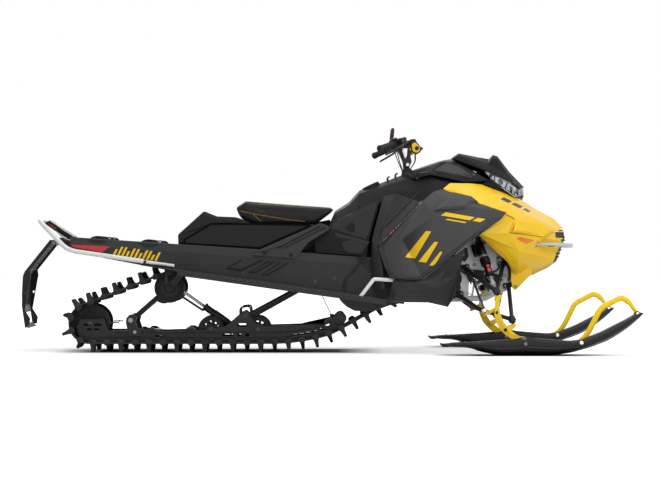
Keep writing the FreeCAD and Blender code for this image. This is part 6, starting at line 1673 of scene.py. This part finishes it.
def makeBulkheadDetails():
    # brackets, ribs, boxes and hoses on the outside of the front frame's side plates
    values = {"face": 132.0}
    y = values["face"]

    def on(outline, out):
        return slab(eased(outline, 1, 0.12), y - 1, y + out)

    def rib(start, end, out):
        return slab(lineBand([start, end], 6), y - 1, y + out)

    def hose(path, radius):                # its points as (x, distance from the face, z)
        return tube(smoothPath(vec(*path) + vec(0, y, 0), 8), radius, 10)

    boxes = [on([(713, 436), (839, 424), (853, 317), (825, 313), (821, 391), (759, 393), (755, 346),
                 (740, 372)], 14),
             on([(886, 500), (926, 486), (934, 452), (918, 440), (892, 462)], 22),
             on([(660, 350), (690, 372), (702, 330), (690, 306), (664, 306)], 10),
             on([(700, 520), (730, 548), (742, 500), (722, 470), (702, 478)], 8),
             on([(846, 420), (900, 402), (922, 372), (906, 356), (862, 372)], 12),
             on([(650, 470), (676, 486), (684, 440), (660, 420)], 9),
             on([(648, 500), (694, 516), (706, 470), (694, 424), (708, 384), (690, 330), (674, 304),
                 (648, 304)], 5),
             rib((716, 434), (753, 357), 17), rib((838, 422), (832, 320), 17), rib((722, 410), (842, 400), 5),
             rib((826, 342), (850, 332), 17)]
    makePiece("frontFrameBoxes", bothSides(boxes), "blackPlastic", bevel=1.6)
    cast = [rib((789, 590), (916, 486), 5), rib((690, 500), (780, 590), 5), rib((690, 377), (886, 480), 5),
            rib((694, 327), (758, 298), 17), rib((826, 316), (930, 376), 17), rib((930, 378), (916, 470), 5),
            on([(702, 470), (760, 470), (796, 560), (770, 574), (716, 520)], 2.5),
            on([(806, 558), (872, 500), (860, 476), (784, 470)], 2.5),
            on([(868, 352), (914, 366), (900, 330), (850, 308), (830, 310)], 2.5),
            on([(650, 420), (696, 428), (700, 388), (668, 364), (650, 372)], 4)]
    makePiece("frontFrameRibs", bothSides(cast), "cast", bevel=1.0)
    bolts = [boltHead((x, y + out, z), across, radius, 4)
             for x, z, radius, out in ((700, 452, 8, 4), (770, 456, 7, 4), (846, 452, 7, 4),
                                       (900, 478, 9, 22), (676, 330, 8, 4), (880, 346, 7, 4),
                                       (926, 398, 8, 4), (790, 576, 7, 4), (758, 420, 6, 14),
                                       (826, 410, 6, 14), (834, 330, 6, 14), (716, 506, 6, 4),
                                       (664, 400, 7, 4))]
    bolts.append(lathe([(-8, 0), (-8, 8), (4, 8), (6, 6), (6, 0)], (979, 203, 343), across, 18))
    makePiece("frontFrameBolts", bothSides(bolts), "steelDark", bevel=0.4)
    hoses = [hose([(916, 12, 470), (944, 26, 446), (952, 30, 400), (946, 26, 372)], 6),
             hose([(706, 8, 520), (690, 24, 470), (700, 26, 430), (722, 14, 408)], 5),
             hose([(828, 12, 406), (844, 30, 378), (848, 34, 346), (840, 12, 324)], 5),
             hose([(840, 10, 430), (866, 20, 420), (890, 16, 430), (904, 10, 452)], 4.5)]
    makePiece("frontHoses", bothSides(hoses), "softRubber")
    fins = [slab(eased([(954, 380), (963, 330), (972, 325), (984, 327), (1064, 410), (1062, 440),
                        (956, 440)], 1, 0.1), 196, 203)]
    makePiece("noseFins", bothSides(fins), "yellowGloss", bevel=1.2)


def makeArmDetails():
    # pivot bolts and collars where the front arms meet the frame
    values = {"pivots": [((682, 145, 300), (948, 145, 348)), ((712, 145, 442), (922, 145, 466))], "reach": 22}
    parts = []
    for ends in values["pivots"]:
        run = unit(vec(*ends[1]) - ends[0])
        for eye in ends:
            for way in (run, -run):
                parts += [boltHead(eye + way * values["reach"], way, 10, 6),
                          lathe([(17, 14), (17, 18), (21, 18), (21, 14)], eye, way, 24)]
    makePiece("armBolts", bothSides(parts), "steelDark", bevel=0.5)


makeSkis()
makeSkiLoops()
makeSpindles()
makeFrontShocks()
makeBulkheadDetails()
makeArmDetails()
print("skis and front suspension made")


def makeShell():
    # the outer skins as one hidden shape: what flat details are laid on
    work = bmesh.new()
    graph = bpy.context.evaluated_depsgraph_get()
    for piece in (*shown.values(), bpy.data.objects["lampHousing"], bpy.data.objects["front_grille"]):
        mesh = bpy.data.meshes.new_from_object(piece.evaluated_get(graph))
        work.from_mesh(mesh)
        bpy.data.meshes.remove(mesh)
    mesh = bpy.data.meshes.new("shell")
    work.to_mesh(mesh)
    work.free()
    piece = bpy.data.objects.new("shell", mesh)
    bpy.context.scene.collection.objects.link(piece)
    return piece


def shellHit(start, direction):
    # where a ray first meets the shell, in millimetres, or None
    spot = shellTree.ray_cast(Vector(start) * toMetres, Vector(direction))[0]
    return None if spot is None else np.array(spot) / toMetres


def sideHit(x, z, side):               # the same for a level ray that comes in from one side
    return shellHit((x, side * 600, z), (0, -side, 0))


def planeOf(outline, side, share):
    # y = a + b x + c z through the shell behind an outline's corners, least squares, then pushed out a little
    outline = np.asarray(outline, float)
    middle = outline.mean(axis=0)
    near = [middle + (outline - middle) * k for k in (0.93, 0.5)]
    hits = [sideHit(x, z, side) for x, z in np.vstack(near)]
    hits = np.array([h for h in hits if h is not None and h[1] * side > 20])
    plan = np.stack([np.ones(len(hits)), hits[:, 0], hits[:, 2]], axis=1)
    fit = np.linalg.lstsq(plan, hits[:, 1], rcond=None)[0]
    off = np.percentile((hits[:, 1] - plan @ fit) * side, share)
    return fit + np.array([side * max(off, 0), 0, 0])


def flatPlates(name, outlines, finish, rise, slope, sink=8.0, fit=None, share=70):
    # true flat facets on both sides: a back ring sunk behind the skin, a rim and a raised inner face
    shapes = []
    for side in (-1, 1):
        for outline in outlines:
            a, b, c = planeOf(fit if fit is not None else outline, side, share)
            rings = []
            for loop, level in ((outline, -sink), (outline, 0.3), (inset(outline, slope), rise)):
                x, z = np.asarray(loop, float).T
                rings.append(np.stack([x, a + b * x + c * z + side * level, z], axis=1))
            shapes.append(surface(np.stack(rings), capped=True))
    makePiece(name, shapes, finish, bevel=0.8, crease=20)


def both(name, outlines, finish, thick, slope=0):
    for side, label in ((-1, "Right"), (1, "Left")):
        draped(name + label, outlines, side, materials[finish], thick, slope)


def makeBodyDetails():
    # each mark on the vent strip: its share of the strip's length and half its own length
    values = {"strip": [(262, 556), (486, 781)], "markHeight": 2, "slatHeights": (496, 514, 532, 584, 600),
              "marks": {"orange": [(0.28, 9), (0.33, 4), (0.95, 8)], "blue": [(0.5, 5), (0.6, 6)],
                        "paleGrey": [(0.12, 3), (0.17, 3), (0.4, 3), (0.45, 4), (0.7, 3),
                                     (0.78, 3), (0.86, 4)]}}
    flatPlates("sideBulge",
               [[(547, 735), (623, 815), (645, 829), (739, 807), (772, 778), (746, 771), (710, 742)]],
               "graphite", 14, 18)
    lip = [(309, 434), (352, 390), (380, 384), (449, 385), (521, 436), (703, 574), (770, 628)]
    both("sideLip", [lineBand(lip, 8)], "graphitePlain", thick=3.5, slope=3)
    under = [(300, 428), (348, 379), (380, 373), (453, 373), (527, 424), (709, 561), (790, 628)]
    both("sideGroove", [lineBand(under, 5)], "glossBlack", thick=0.8)
    corner = [(312, 440), (270, 590), (280, 640), (480, 838)]
    both("sideCorner", [lineBand(corner, 5)], "graphitePlain", thick=2.5, slope=2)
    both("lowerCrease", [[(344, 364), (391, 361), (522, 379), (600, 430), (560, 250), (330, 262)]],
         "graphitePlain", thick=5.0, slope=12)

    start, end = vec(*values["strip"])
    run = unit(end - start)
    off = vec(-run[1], run[0]) * values["markHeight"]
    base = lineBand([start, end], 15)
    flatPlates("ventStrip", [base], "blackSteel", 3, 2, 10)
    for color, marks in values["marks"].items():
        outlines = []
        for share, size in marks:
            at = start + (end - start) * share
            outlines.append([at - run * size - off, at + run * size - off, at + run * (size + 2) + off,
                             at - run * (size - 2) + off])
        flatPlates("ventMarks" + color.capitalize(), outlines, color, 3.6, 0.3, 1, fit=base)

    seams = [lineBand([(17, 667), (266, 785)], 4), lineBand([(266, 783), (203, 580)], 4),
             lineBand([(9, 643), (224, 584)], 5), lineBand([(28, 628), (94, 517)], 3)]
    both("consoleSeams", seams, "glossBlack", thick=0.9)
    flatPlates("consolePanel", [[(34, 672), (262, 778), (214, 614), (202, 588), (20, 640)]], "consoleMid",
               3, 10)
    flatPlates("consoleFacet", [[(34, 622), (98, 520), (178, 512), (222, 574)]], "consoleMid",
               3, 8)
    vent = [(88, 649), (131, 678), (148, 658), (143, 622), (104, 630)]
    flatPlates("consoleVent", [vent], "glossBlack", 5, 3, 4)
    slats = [lineBand(slat, 5) for slat in ([(98, 642), (136, 632)], [(104, 651), (139, 642)],
                                            [(112, 661), (141, 653)])]
    flatPlates("consoleVentSlats", slats, "consoleMid", 8, 1, 2, fit=vent)
    seams = [lineBand([(624, 996), (542, 946), (676, 918)], 3.5),
             lineBand([(461, 930), (520, 937), (727, 886), (765, 890), (798, 916)], 4)]
    both("hoodSeams", seams, "glossBlack", thick=0.9)
    flatPlates("hoodPlate", [[(632, 990), (556, 946), (680, 924), (748, 906), (752, 918), (700, 962)]],
               "consoleMid", 3, 10)
    flatPlates("nosePlate", [[(975, 692), (1104, 678), (1180, 636), (1137, 609), (950, 626)]], "yellowPlain",
               8, 9, 16)
    reflector = [(968, 589), (990, 599), (1074, 583), (1027, 562)]
    flatPlates("noseReflector", [reflector], "orange", 2, 1.5, 9, share=100)
    ribs = [[(1004, 596), (985, 581)], [(1020, 593), (1002, 574)], [(1036, 590), (1019, 566)],
            [(1052, 587), (1038, 567)]]
    flatPlates("noseReflectorRibs", [lineBand(rib, 2.4) for rib in ribs], "orange",
               3.2, 0.5, 1, fit=reflector, share=100)

    slats = []
    for z in values["slatHeights"]:        # bars along the skin behind the grille's opening
        hits = [shellHit((1500, y, z), (-1, 0, 0)) for y in np.linspace(-136, 136, 35)]
        path = np.array([h for h in hits if h is not None and h[0] > 1190 + (z - 487) * 0.40])
        if len(path) > 4:
            slats.append(tube(path + vec(2, 0, 0), 4.0, 8))
    makePiece("grilleSlats", slats, "blackPlastic")


def makeFillers():
    # near-black shapes inside the bodywork that close the gaps between its panels: painted shade for the
    # shaded inside seen through the gaps
    def shadeFill(name, shapes):
        makePiece(name, shapes, "shadeBlack")

    console = [(-50, 512), (-44, 640), (30, 676), (110, 725), (170, 780), (250, 812), (400, 860), (430, 850),
               (440, 520)]
    knees = [(-100, 492), (-96, 545), (26, 616), (200, 560), (262, 560), (262, 486)]
    shadeFill("consoleShadeFill", [slab(console, -92, 92), slab(knees, -196, 196)])
    shadeFill("seatShadeFill", [slab([(-60, 640), (-60, 676), (16, 690), (40, 640)], -150, 150),
                      slab([(-440, 640), (-440, 688), (-400, 680), (-10, 678), (0, 640)], -118, 118),
                      slab([(-770, 552), (-770, 572), (-60, 530), (-60, 500)], -186, 186)])
    # shelves that close the slots beside the cowl: from y = 298 out to 9 behind the side panels' outer faces
    x = np.linspace(436, 742, 18)
    level = np.interp(x, [436, 560, 742], [742, 736, 640])
    shelves = []
    for side in (-1, 1):
        reach = [sideHit(a, b, side) for a, b in zip(x, level)]
        outer = np.array([max(abs(h[1]) - 9, 302) if h is not None else 302 for h in reach])
        inner = np.full(len(x), 298.0)
        corners = [(inner, level), (outer, level), (outer, level - 12), (inner, level - 12)]
        grid = np.stack([np.stack([x, side * y, z], axis=1) for y, z in corners], axis=1)
        shelves.append(surface(grid, capped=True))
    shadeFill("cowlShadeShelves", shelves)
    shadeFill("wingShadeFill", bothSides([slab([(430, 560), (440, 742), (560, 742), (700, 690), (740, 650), (700, 560)],
                                     216, 308)]))
    shadeFill("cowlShadeFill", bothSides([slab([(386, 770), (396, 806), (470, 812), (560, 780), (560, 740), (420, 740)],
                                     45, 215)]))
    visor = [(768, 850), (774, 926), (800, 932), (850, 933), (900, 912), (930, 880), (880, 850)]
    shadeFill("visorShadeFill",
         [slab(visor, -100, 100), slab([(784, 920), (790, 941), (858, 942), (862, 920)], -52, 52)])
    shadeFill("noseShadeFill",
         [slab([(760, 700), (800, 860), (880, 850), (1120, 690), (1150, 600), (1100, 480), (990, 430),
                (900, 560)], -110, 110)])


def makeFrontBumper():
    values = {"side": [(1064, 214, 560), (1128, 234, 561), (1190, 210, 560), (1290, 100, 556)], "bend": 42,
              "blade": [(-6, -5), (0, -12), (5, -9), (7, 0), (5, 9), (0, 12), (-6, 5)]}
    side = vec(*values["side"])
    path = rounded([*side, *(side[::-1] * vec(1, -1, 1))], values["bend"], 8)
    # the blade is 0.55 as tall at its rear ends, from y = 235 inwards to 175
    tall = 0.55 + 0.45 * np.clip((235 - np.abs(path[:, 1])) / 60, 0, 1)
    blade = carried(vec(*values["blade"]), path, np.stack([0 * tall + 1, tall], axis=1), hint=up)
    makePiece("frontBumperBlade", [blade], "paleGrey", ["front_bumper"], bevel=1.0, crease=30)
    makePiece("frontBumperStays", bothSides([rod((1150, 190, 559), (1180, 206, 559), 10, 16, 2)]),
              "blackPlastic")


def makeHeadlight():
    # each lamp on one smooth sheet: y = a quadratic in x and z through the housing, least squares; s runs
    # along the lamp from its rear point and t from its upper edge to its lower edge
    values = {"cells": [(0.05, 0.24), (0.27, 0.47), (0.50, 0.70), (0.73, 0.93)], "wall": 7.6,
              "strip": 4.0, "cover": 9.0}
    upper = vec((818, 944), (870, 923), (950, 888), (1010, 860), (1024, 846))
    lower = vec((822, 934), (866, 884), (926, 842), (978, 806), (1020, 816))
    knots = np.linspace(0, 1, len(upper))

    def spot(s, t):
        s, t = np.asarray(s, float), np.asarray(t, float)
        edge = [np.stack([np.interp(s, knots, line[:, k]) for k in (0, 1)], axis=-1)
                for line in (upper, lower)]
        return edge[0] + (edge[1] - edge[0]) * t[..., None]

    def terms(flat):
        x, z = (flat[..., 0] - 920) / 100, (flat[..., 1] - 870) / 100
        return np.stack([np.ones_like(x), x, z, x * x, x * z, z * z], axis=-1)

    def bowl(u, v):                        # how far a reflector and the cover stand out, u and v from -1 to 1
        return 2.0 + 4.5 * np.clip(u * u + v * v, 0, 1)

    def dome(u, v):
        return values["cover"] - 2.5 * np.clip(np.abs(u) ** 8 + v ** 8, 0, 1)

    pieces = {"lampBacks": [], "lampReflectors": [], "lampLenses": [], "lampStrips": [], "lampCovers": []}
    for side in (-1, 1):
        s, t = np.meshgrid(np.linspace(0.05, 0.95, 15), np.linspace(0.15, 0.85, 6), indexing="ij")
        flat = spot(s, t).reshape(-1, 2)
        hits = [sideHit(x, z, side) for x, z in flat]
        good = np.array([h is not None and h[1] * side > 40 for h in hits])
        depth = np.array([h[1] for h, ok in zip(hits, good) if ok])
        fit = np.linalg.lstsq(terms(flat[good]), depth, rcond=None)[0]

        def patch(sSpan, tSpan, low, high, counts=(18, 8)):
            # closed sheet over part of the lamp from low out to high, which is a height or a function of u, v
            s, t = np.meshgrid(np.linspace(*sSpan, counts[0]), np.linspace(*tSpan, counts[1]), indexing="ij")
            u, v = np.meshgrid(np.linspace(-1, 1, counts[0]), np.linspace(-1, 1, counts[1]), indexing="ij")
            flat = spot(s, t)
            base = terms(flat) @ fit
            top = high(u, v) if callable(high) else high
            front, back = (np.stack([flat[..., 0], base + side * level, flat[..., 1]], axis=-1)
                           for level in (top, low))
            return surface(np.concatenate([front, back[:, ::-1]], axis=1), capped=True)

        wall, strip = values["wall"], values["strip"]
        pieces["lampBacks"] += [patch((0, 1), (0, 1), -14, 1.0),
                                patch((0, 1), (0, 0.035), 0, wall, (18, 2)),
                                patch((0, 1), (0.965, 1), 0, wall, (18, 2)),
                                patch((0, 0.015), (0, 1), 0, wall, (2, 8)),
                                patch((0.985, 1), (0, 1), 0, wall, (2, 8))]
        for a, b in values["cells"]:
            pieces["lampReflectors"].append(patch((a, b), (0.16, 0.82), 0, bowl, (13, 13)))
            middle = spot((a + b) / 2, 0.5)
            depth = [terms(middle + step) @ fit for step in vec((0, 0), (1, 0), (0, 1))]
            face = unit(side * vec(depth[0] - depth[1], 1, depth[0] - depth[2]))
            at = vec(middle[0], depth[0], middle[1]) + face * 1.5
            size = 0.26 * np.linalg.norm(spot(b, 0.5) - spot(a, 0.5))
            pieces["lampLenses"].append(lathe([(0, 0), (0, size), (1.8, size), (2.6, size * 0.8),
                                               (3.3, size * 0.45), (3.5, 0)], at, face, 20))
        pieces["lampStrips"] += [patch((0.02, 0.99), (0.88, 0.96), 0, strip, (18, 3)),
                                 patch((0.02, 0.96), (0.04, 0.10), 0, strip - 0.5, (18, 3)),
                                 patch((0.955, 0.985), (0.10, 0.90), 0, strip, (3, 8))]
        pieces["lampCovers"].append(patch((0, 1), (0, 1), values["cover"] - 2, dome, (30, 14)))
    finishes = {"lampBacks": "lampInner", "lampReflectors": "lampSilver", "lampLenses": "lampInner",
                "lampStrips": "lampStrip", "lampCovers": "lens"}
    for name, shapes in pieces.items():
        lamp = makePiece(name, shapes, finishes[name], crease=40)
    lamp.data.flip_normals()           # the thin covers come out of the tidying inside out


def makeHandlebar():
    values = {"bar": 11.0, "grip": 15.5, "ribs": 15, "gripSpan": (0.47, 0.985),
              "bends": [(426, 0, 1094), (426, 58, 1094), (398, 150, 1100), (266, 362, 1048)]}
    bends = vec(*values["bends"])
    bend, end = bends[2:]
    run = unit(end - bend)
    length = float(np.linalg.norm(end - bend))
    half = rounded(bends, 40, 7)
    path = np.vstack([half[::-1] * vec(1, -1, 1), half[1:]])
    body = nodes["handlebar"]["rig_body"]
    makePiece("barTube", [tube(path, values["bar"], 18)], "shockBlack", ["handlebar"],
              body=body, crease=60)
    a, b = (length * share for share in values["gripSpan"])
    profile = [(a, 11), (a, 21), (a + 4, 21), (a + 6, values["grip"])]
    for i in range(values["ribs"]):
        c = a + 10 + (b - a - 22) * i / values["ribs"]
        profile += [(c, 15.0), (c + 1.5, 16.2), (c + 4.5, 16.2), (c + 6, 15.0)]
    profile += [(b - 8, 15.5), (b - 5, 18.5), (b, 18.0), (b + 2, 14), (b + 2, 0), (a + 30, 0)]
    makePiece("barGrips", bothSides([lathe(profile, bend, run, 22)]), "softRubber",
              ["grips"], body=body)

    ahead = unit(np.cross(run, up))
    ahead = ahead if ahead[0] > 0 else -ahead
    lift = np.cross(ahead, run)
    lift = lift if lift[2] > 0 else -lift

    def local(d, f, u):                # a point d along the bar from its bend, f ahead of it and u above it
        return bend + run * d + ahead * f + lift * u

    ends = [(0.8, 0.8), (1, 1), (1, 1), (0.8, 0.8)]
    controls = [
        lathe([(40, 11), (40, 20), (43, 21.5), (76, 21.5), (79, 20), (79, 11)], bend, run, 24),
        lathe([(86, 11), (86, 18), (88, 19.5), (110, 19.5), (112, 18), (112, 11)], bend, run, 24),
        lathe([(-13, 0), (-13, 9), (13, 9), (13, 0)], local(78, 38, -2), lift, 18),
        carried(vec((-15, -11), (15, -11), (17, -6), (17, 8), (12, 12), (-12, 12), (-17, 8), (-17, -6)),
                [local(30, 26, 8), local(32, 27, 8), local(82, 31, 10), local(86, 31, 10)], ends, hint=ahead),
        carried(vec((-12, -14), (12, -14), (14, 10), (-14, 10)),
                [local(88, 4, 20), local(90, 4, 20), local(110, 4, 19), local(112, 4, 19)], ends, hint=lift),
    ]
    makePiece("barControls", bothSides(controls), "blackPlastic", ["hand_controls"],
              body=body, bevel=1.4)
    lever = smoothPath([local(70, 30, -2), local(96, 46, -6), local(140, 50, -14), local(200, 42, -24),
                        local(236, 34, -30), local(246, 30, -34)], 6)
    reach = np.linspace(0, 1, len(lever))
    lever = carried(circle(12), lever, np.stack([6.5 - 2 * reach, 9 - 3 * reach], axis=1), hint=ahead)
    makePiece("barLevers", bothSides([lever]), "shockBlack", body=body)
    buttons = [lathe([(0, 0), (0, 6), (5, 6), (7, 4), (7, 0)], local(100, 12, 28), lift, 16)]
    makePiece("barButtons", bothSides(buttons), "red", body=body)
    screws = [boltHead(local(60, 22, 4), ahead, 4, 3), boltHead(local(60, -22, 4), -ahead, 4, 3),
              boltHead(local(78, 38, 12), lift, 6, 3)]
    makePiece("barScrews", bothSides(screws), "steelDark", body=body)

    hoop = rounded([(424, 46, 1102), (366, 46, 1102), (344, 45, 1112), (350, 40, 1168), (350, -40, 1168),
                    (344, -45, 1112), (366, -46, 1102), (424, -46, 1102)], 22, 7)
    makePiece("grabHoop", [tube(hoop, np.where(hoop[:, 2] > 1110, 9.0, 7.0), 16)],
              "softRubber", ["grab_loop"], body=nodes["grab_loop"]["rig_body"], crease=60)
    collar = lathe([(-4, 6), (-4, 10.5), (5, 10.5), (5, 6)], (343, 45, 1108), up, 16)
    makePiece("grabCollars", bothSides([collar]), "red", body=nodes["grab_loop"]["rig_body"])

    pod = [plate([(440, 1096), (470, 1108), (496, 1078), (498, 1050), (474, 1036), (446, 1048)], -44, 44),
           plate([(434, 1094), (440, 1116), (470, 1118), (476, 1098)], -36, 36)]
    makePiece("barPod", pod, "blackPlastic", body=body, bevel=4)
    cheek = [(448, 1090), (468, 1100), (492, 1074), (493, 1054), (474, 1042), (452, 1052)]
    cheeks = [slab(eased(cheek, 1), 43, 51),
              slab([(436, 1066), (442, 1072), (462, 1038), (454, 1034)], 34, 40)]
    makePiece("barPodSides", bothSides(cheeks), "yellowPlain", body=body, bevel=2.5)
    caps = bothSides([lathe([(50, 0), (50, 11), (56, 10), (56, 0)], (476, 0, 1068), across, 20)])
    caps += [lathe([(-46, 0), (-46, 8), (46, 8), (46, 0)], (500, 0, 1066), across, 14)]
    makePiece("barPodCaps", caps, "shockBlack", body=body, bevel=0.8)
    screen = carried(vec((-34, -1.5), (34, -1.5), (34, 1.5), (-34, 1.5)),
                     [(441, 0, 1053), (446, 0, 1098)], hint=along)
    makePiece("barScreen", [screen], "screen", body=body, bevel=0.5)
    cords = [([(404, 96, 1088), (396, 66, 1050), (404, 34, 1010), (410, 24, 962), (400, 18, 920)], 3.2),
             ([(380, 150, 1086), (372, 104, 1042), (386, 50, 992), (402, 22, 948), (396, 16, 916)], 2.6),
             ([(470, 30, 1036), (468, 26, 1000), (446, 22, 962), (424, 18, 930)], 2.4)]
    makePiece("barCords", bothSides([tube(smoothPath(cord, 8), radius, 8) for cord, radius in cords]),
              "softRubber", body=body)
    makePiece("riserBraces", bothSides([rod((398, 26, 1072), (424, 20, 986), 5, 12, 2)]),
              "steel", body=body)


def makeTopDetails():
    values = {"cap": vec(236, 0, 866), "capAxis": unit((-0.42, 0, 0.9)), "capRadius": 44, "capGrips": 16}
    cap, axis = values["cap"], values["capAxis"]
    u, w = squareTo(axis)
    shapes = [lathe([(-14, 0), (-14, values["capRadius"]), (8, values["capRadius"]), (12, 41), (13, 0)],
                    cap, axis, 40)]
    for turn in np.arange(values["capGrips"]) * 2 * math.pi / values["capGrips"]:
        foot = cap + (u * math.cos(turn) + w * math.sin(turn)) * values["capRadius"]
        shapes.append(rod(foot - axis * 4, foot + axis * 9, 5, 8, 1))
    makePiece("fuelCap", shapes, "blackPlastic", bevel=1.0)
    pegs = [tube(rounded([(x, 46, z), (x + 2, 46, z + 32), (x + 12, 46, z + 34)], 8, 4), 3.5, 10)
            for x, z in ((322, 884), (364, 902))]
    makePiece("consolePegs", bothSides(pegs), "blackSteel")
    boot = [lathe([(0, 0), (0, 40), (6, 38), (14, 30), (20, 28), (26, 20), (30, 19), (34, 17), (34, 0)],
                  (432, 0, 930), (-0.31, 0, 0.95), 28)]
    makePiece("steeringBoot", boot, "softRubber")
    heads = [boltHead(sideHit(x, z, side), (0, side, 0.2), radius, 3)
             for x, z, radius in ((761, 921, 6), (470, 905, 4)) for side in (-1, 1)]
    makePiece("hoodScrews", heads, "rivet")


softened("headlight", "lampInner", 1.0, "lampHousing")
shell = makeShell()
shellTree = BVHTree.FromPolygons([v.co for v in shell.data.vertices],
                                 [p.vertices for p in shell.data.polygons])
makeBodyDetails()
makeFillers()
makeFrontBumper()
makeHeadlight()
makeHandlebar()
makeTopDetails()
bpy.data.objects.remove(shell)
print("body, lamp and handlebar details made")


def writeSize():
    # does not work out the CAD box or the visual model's box: it only imports json
    import json


writeSize()
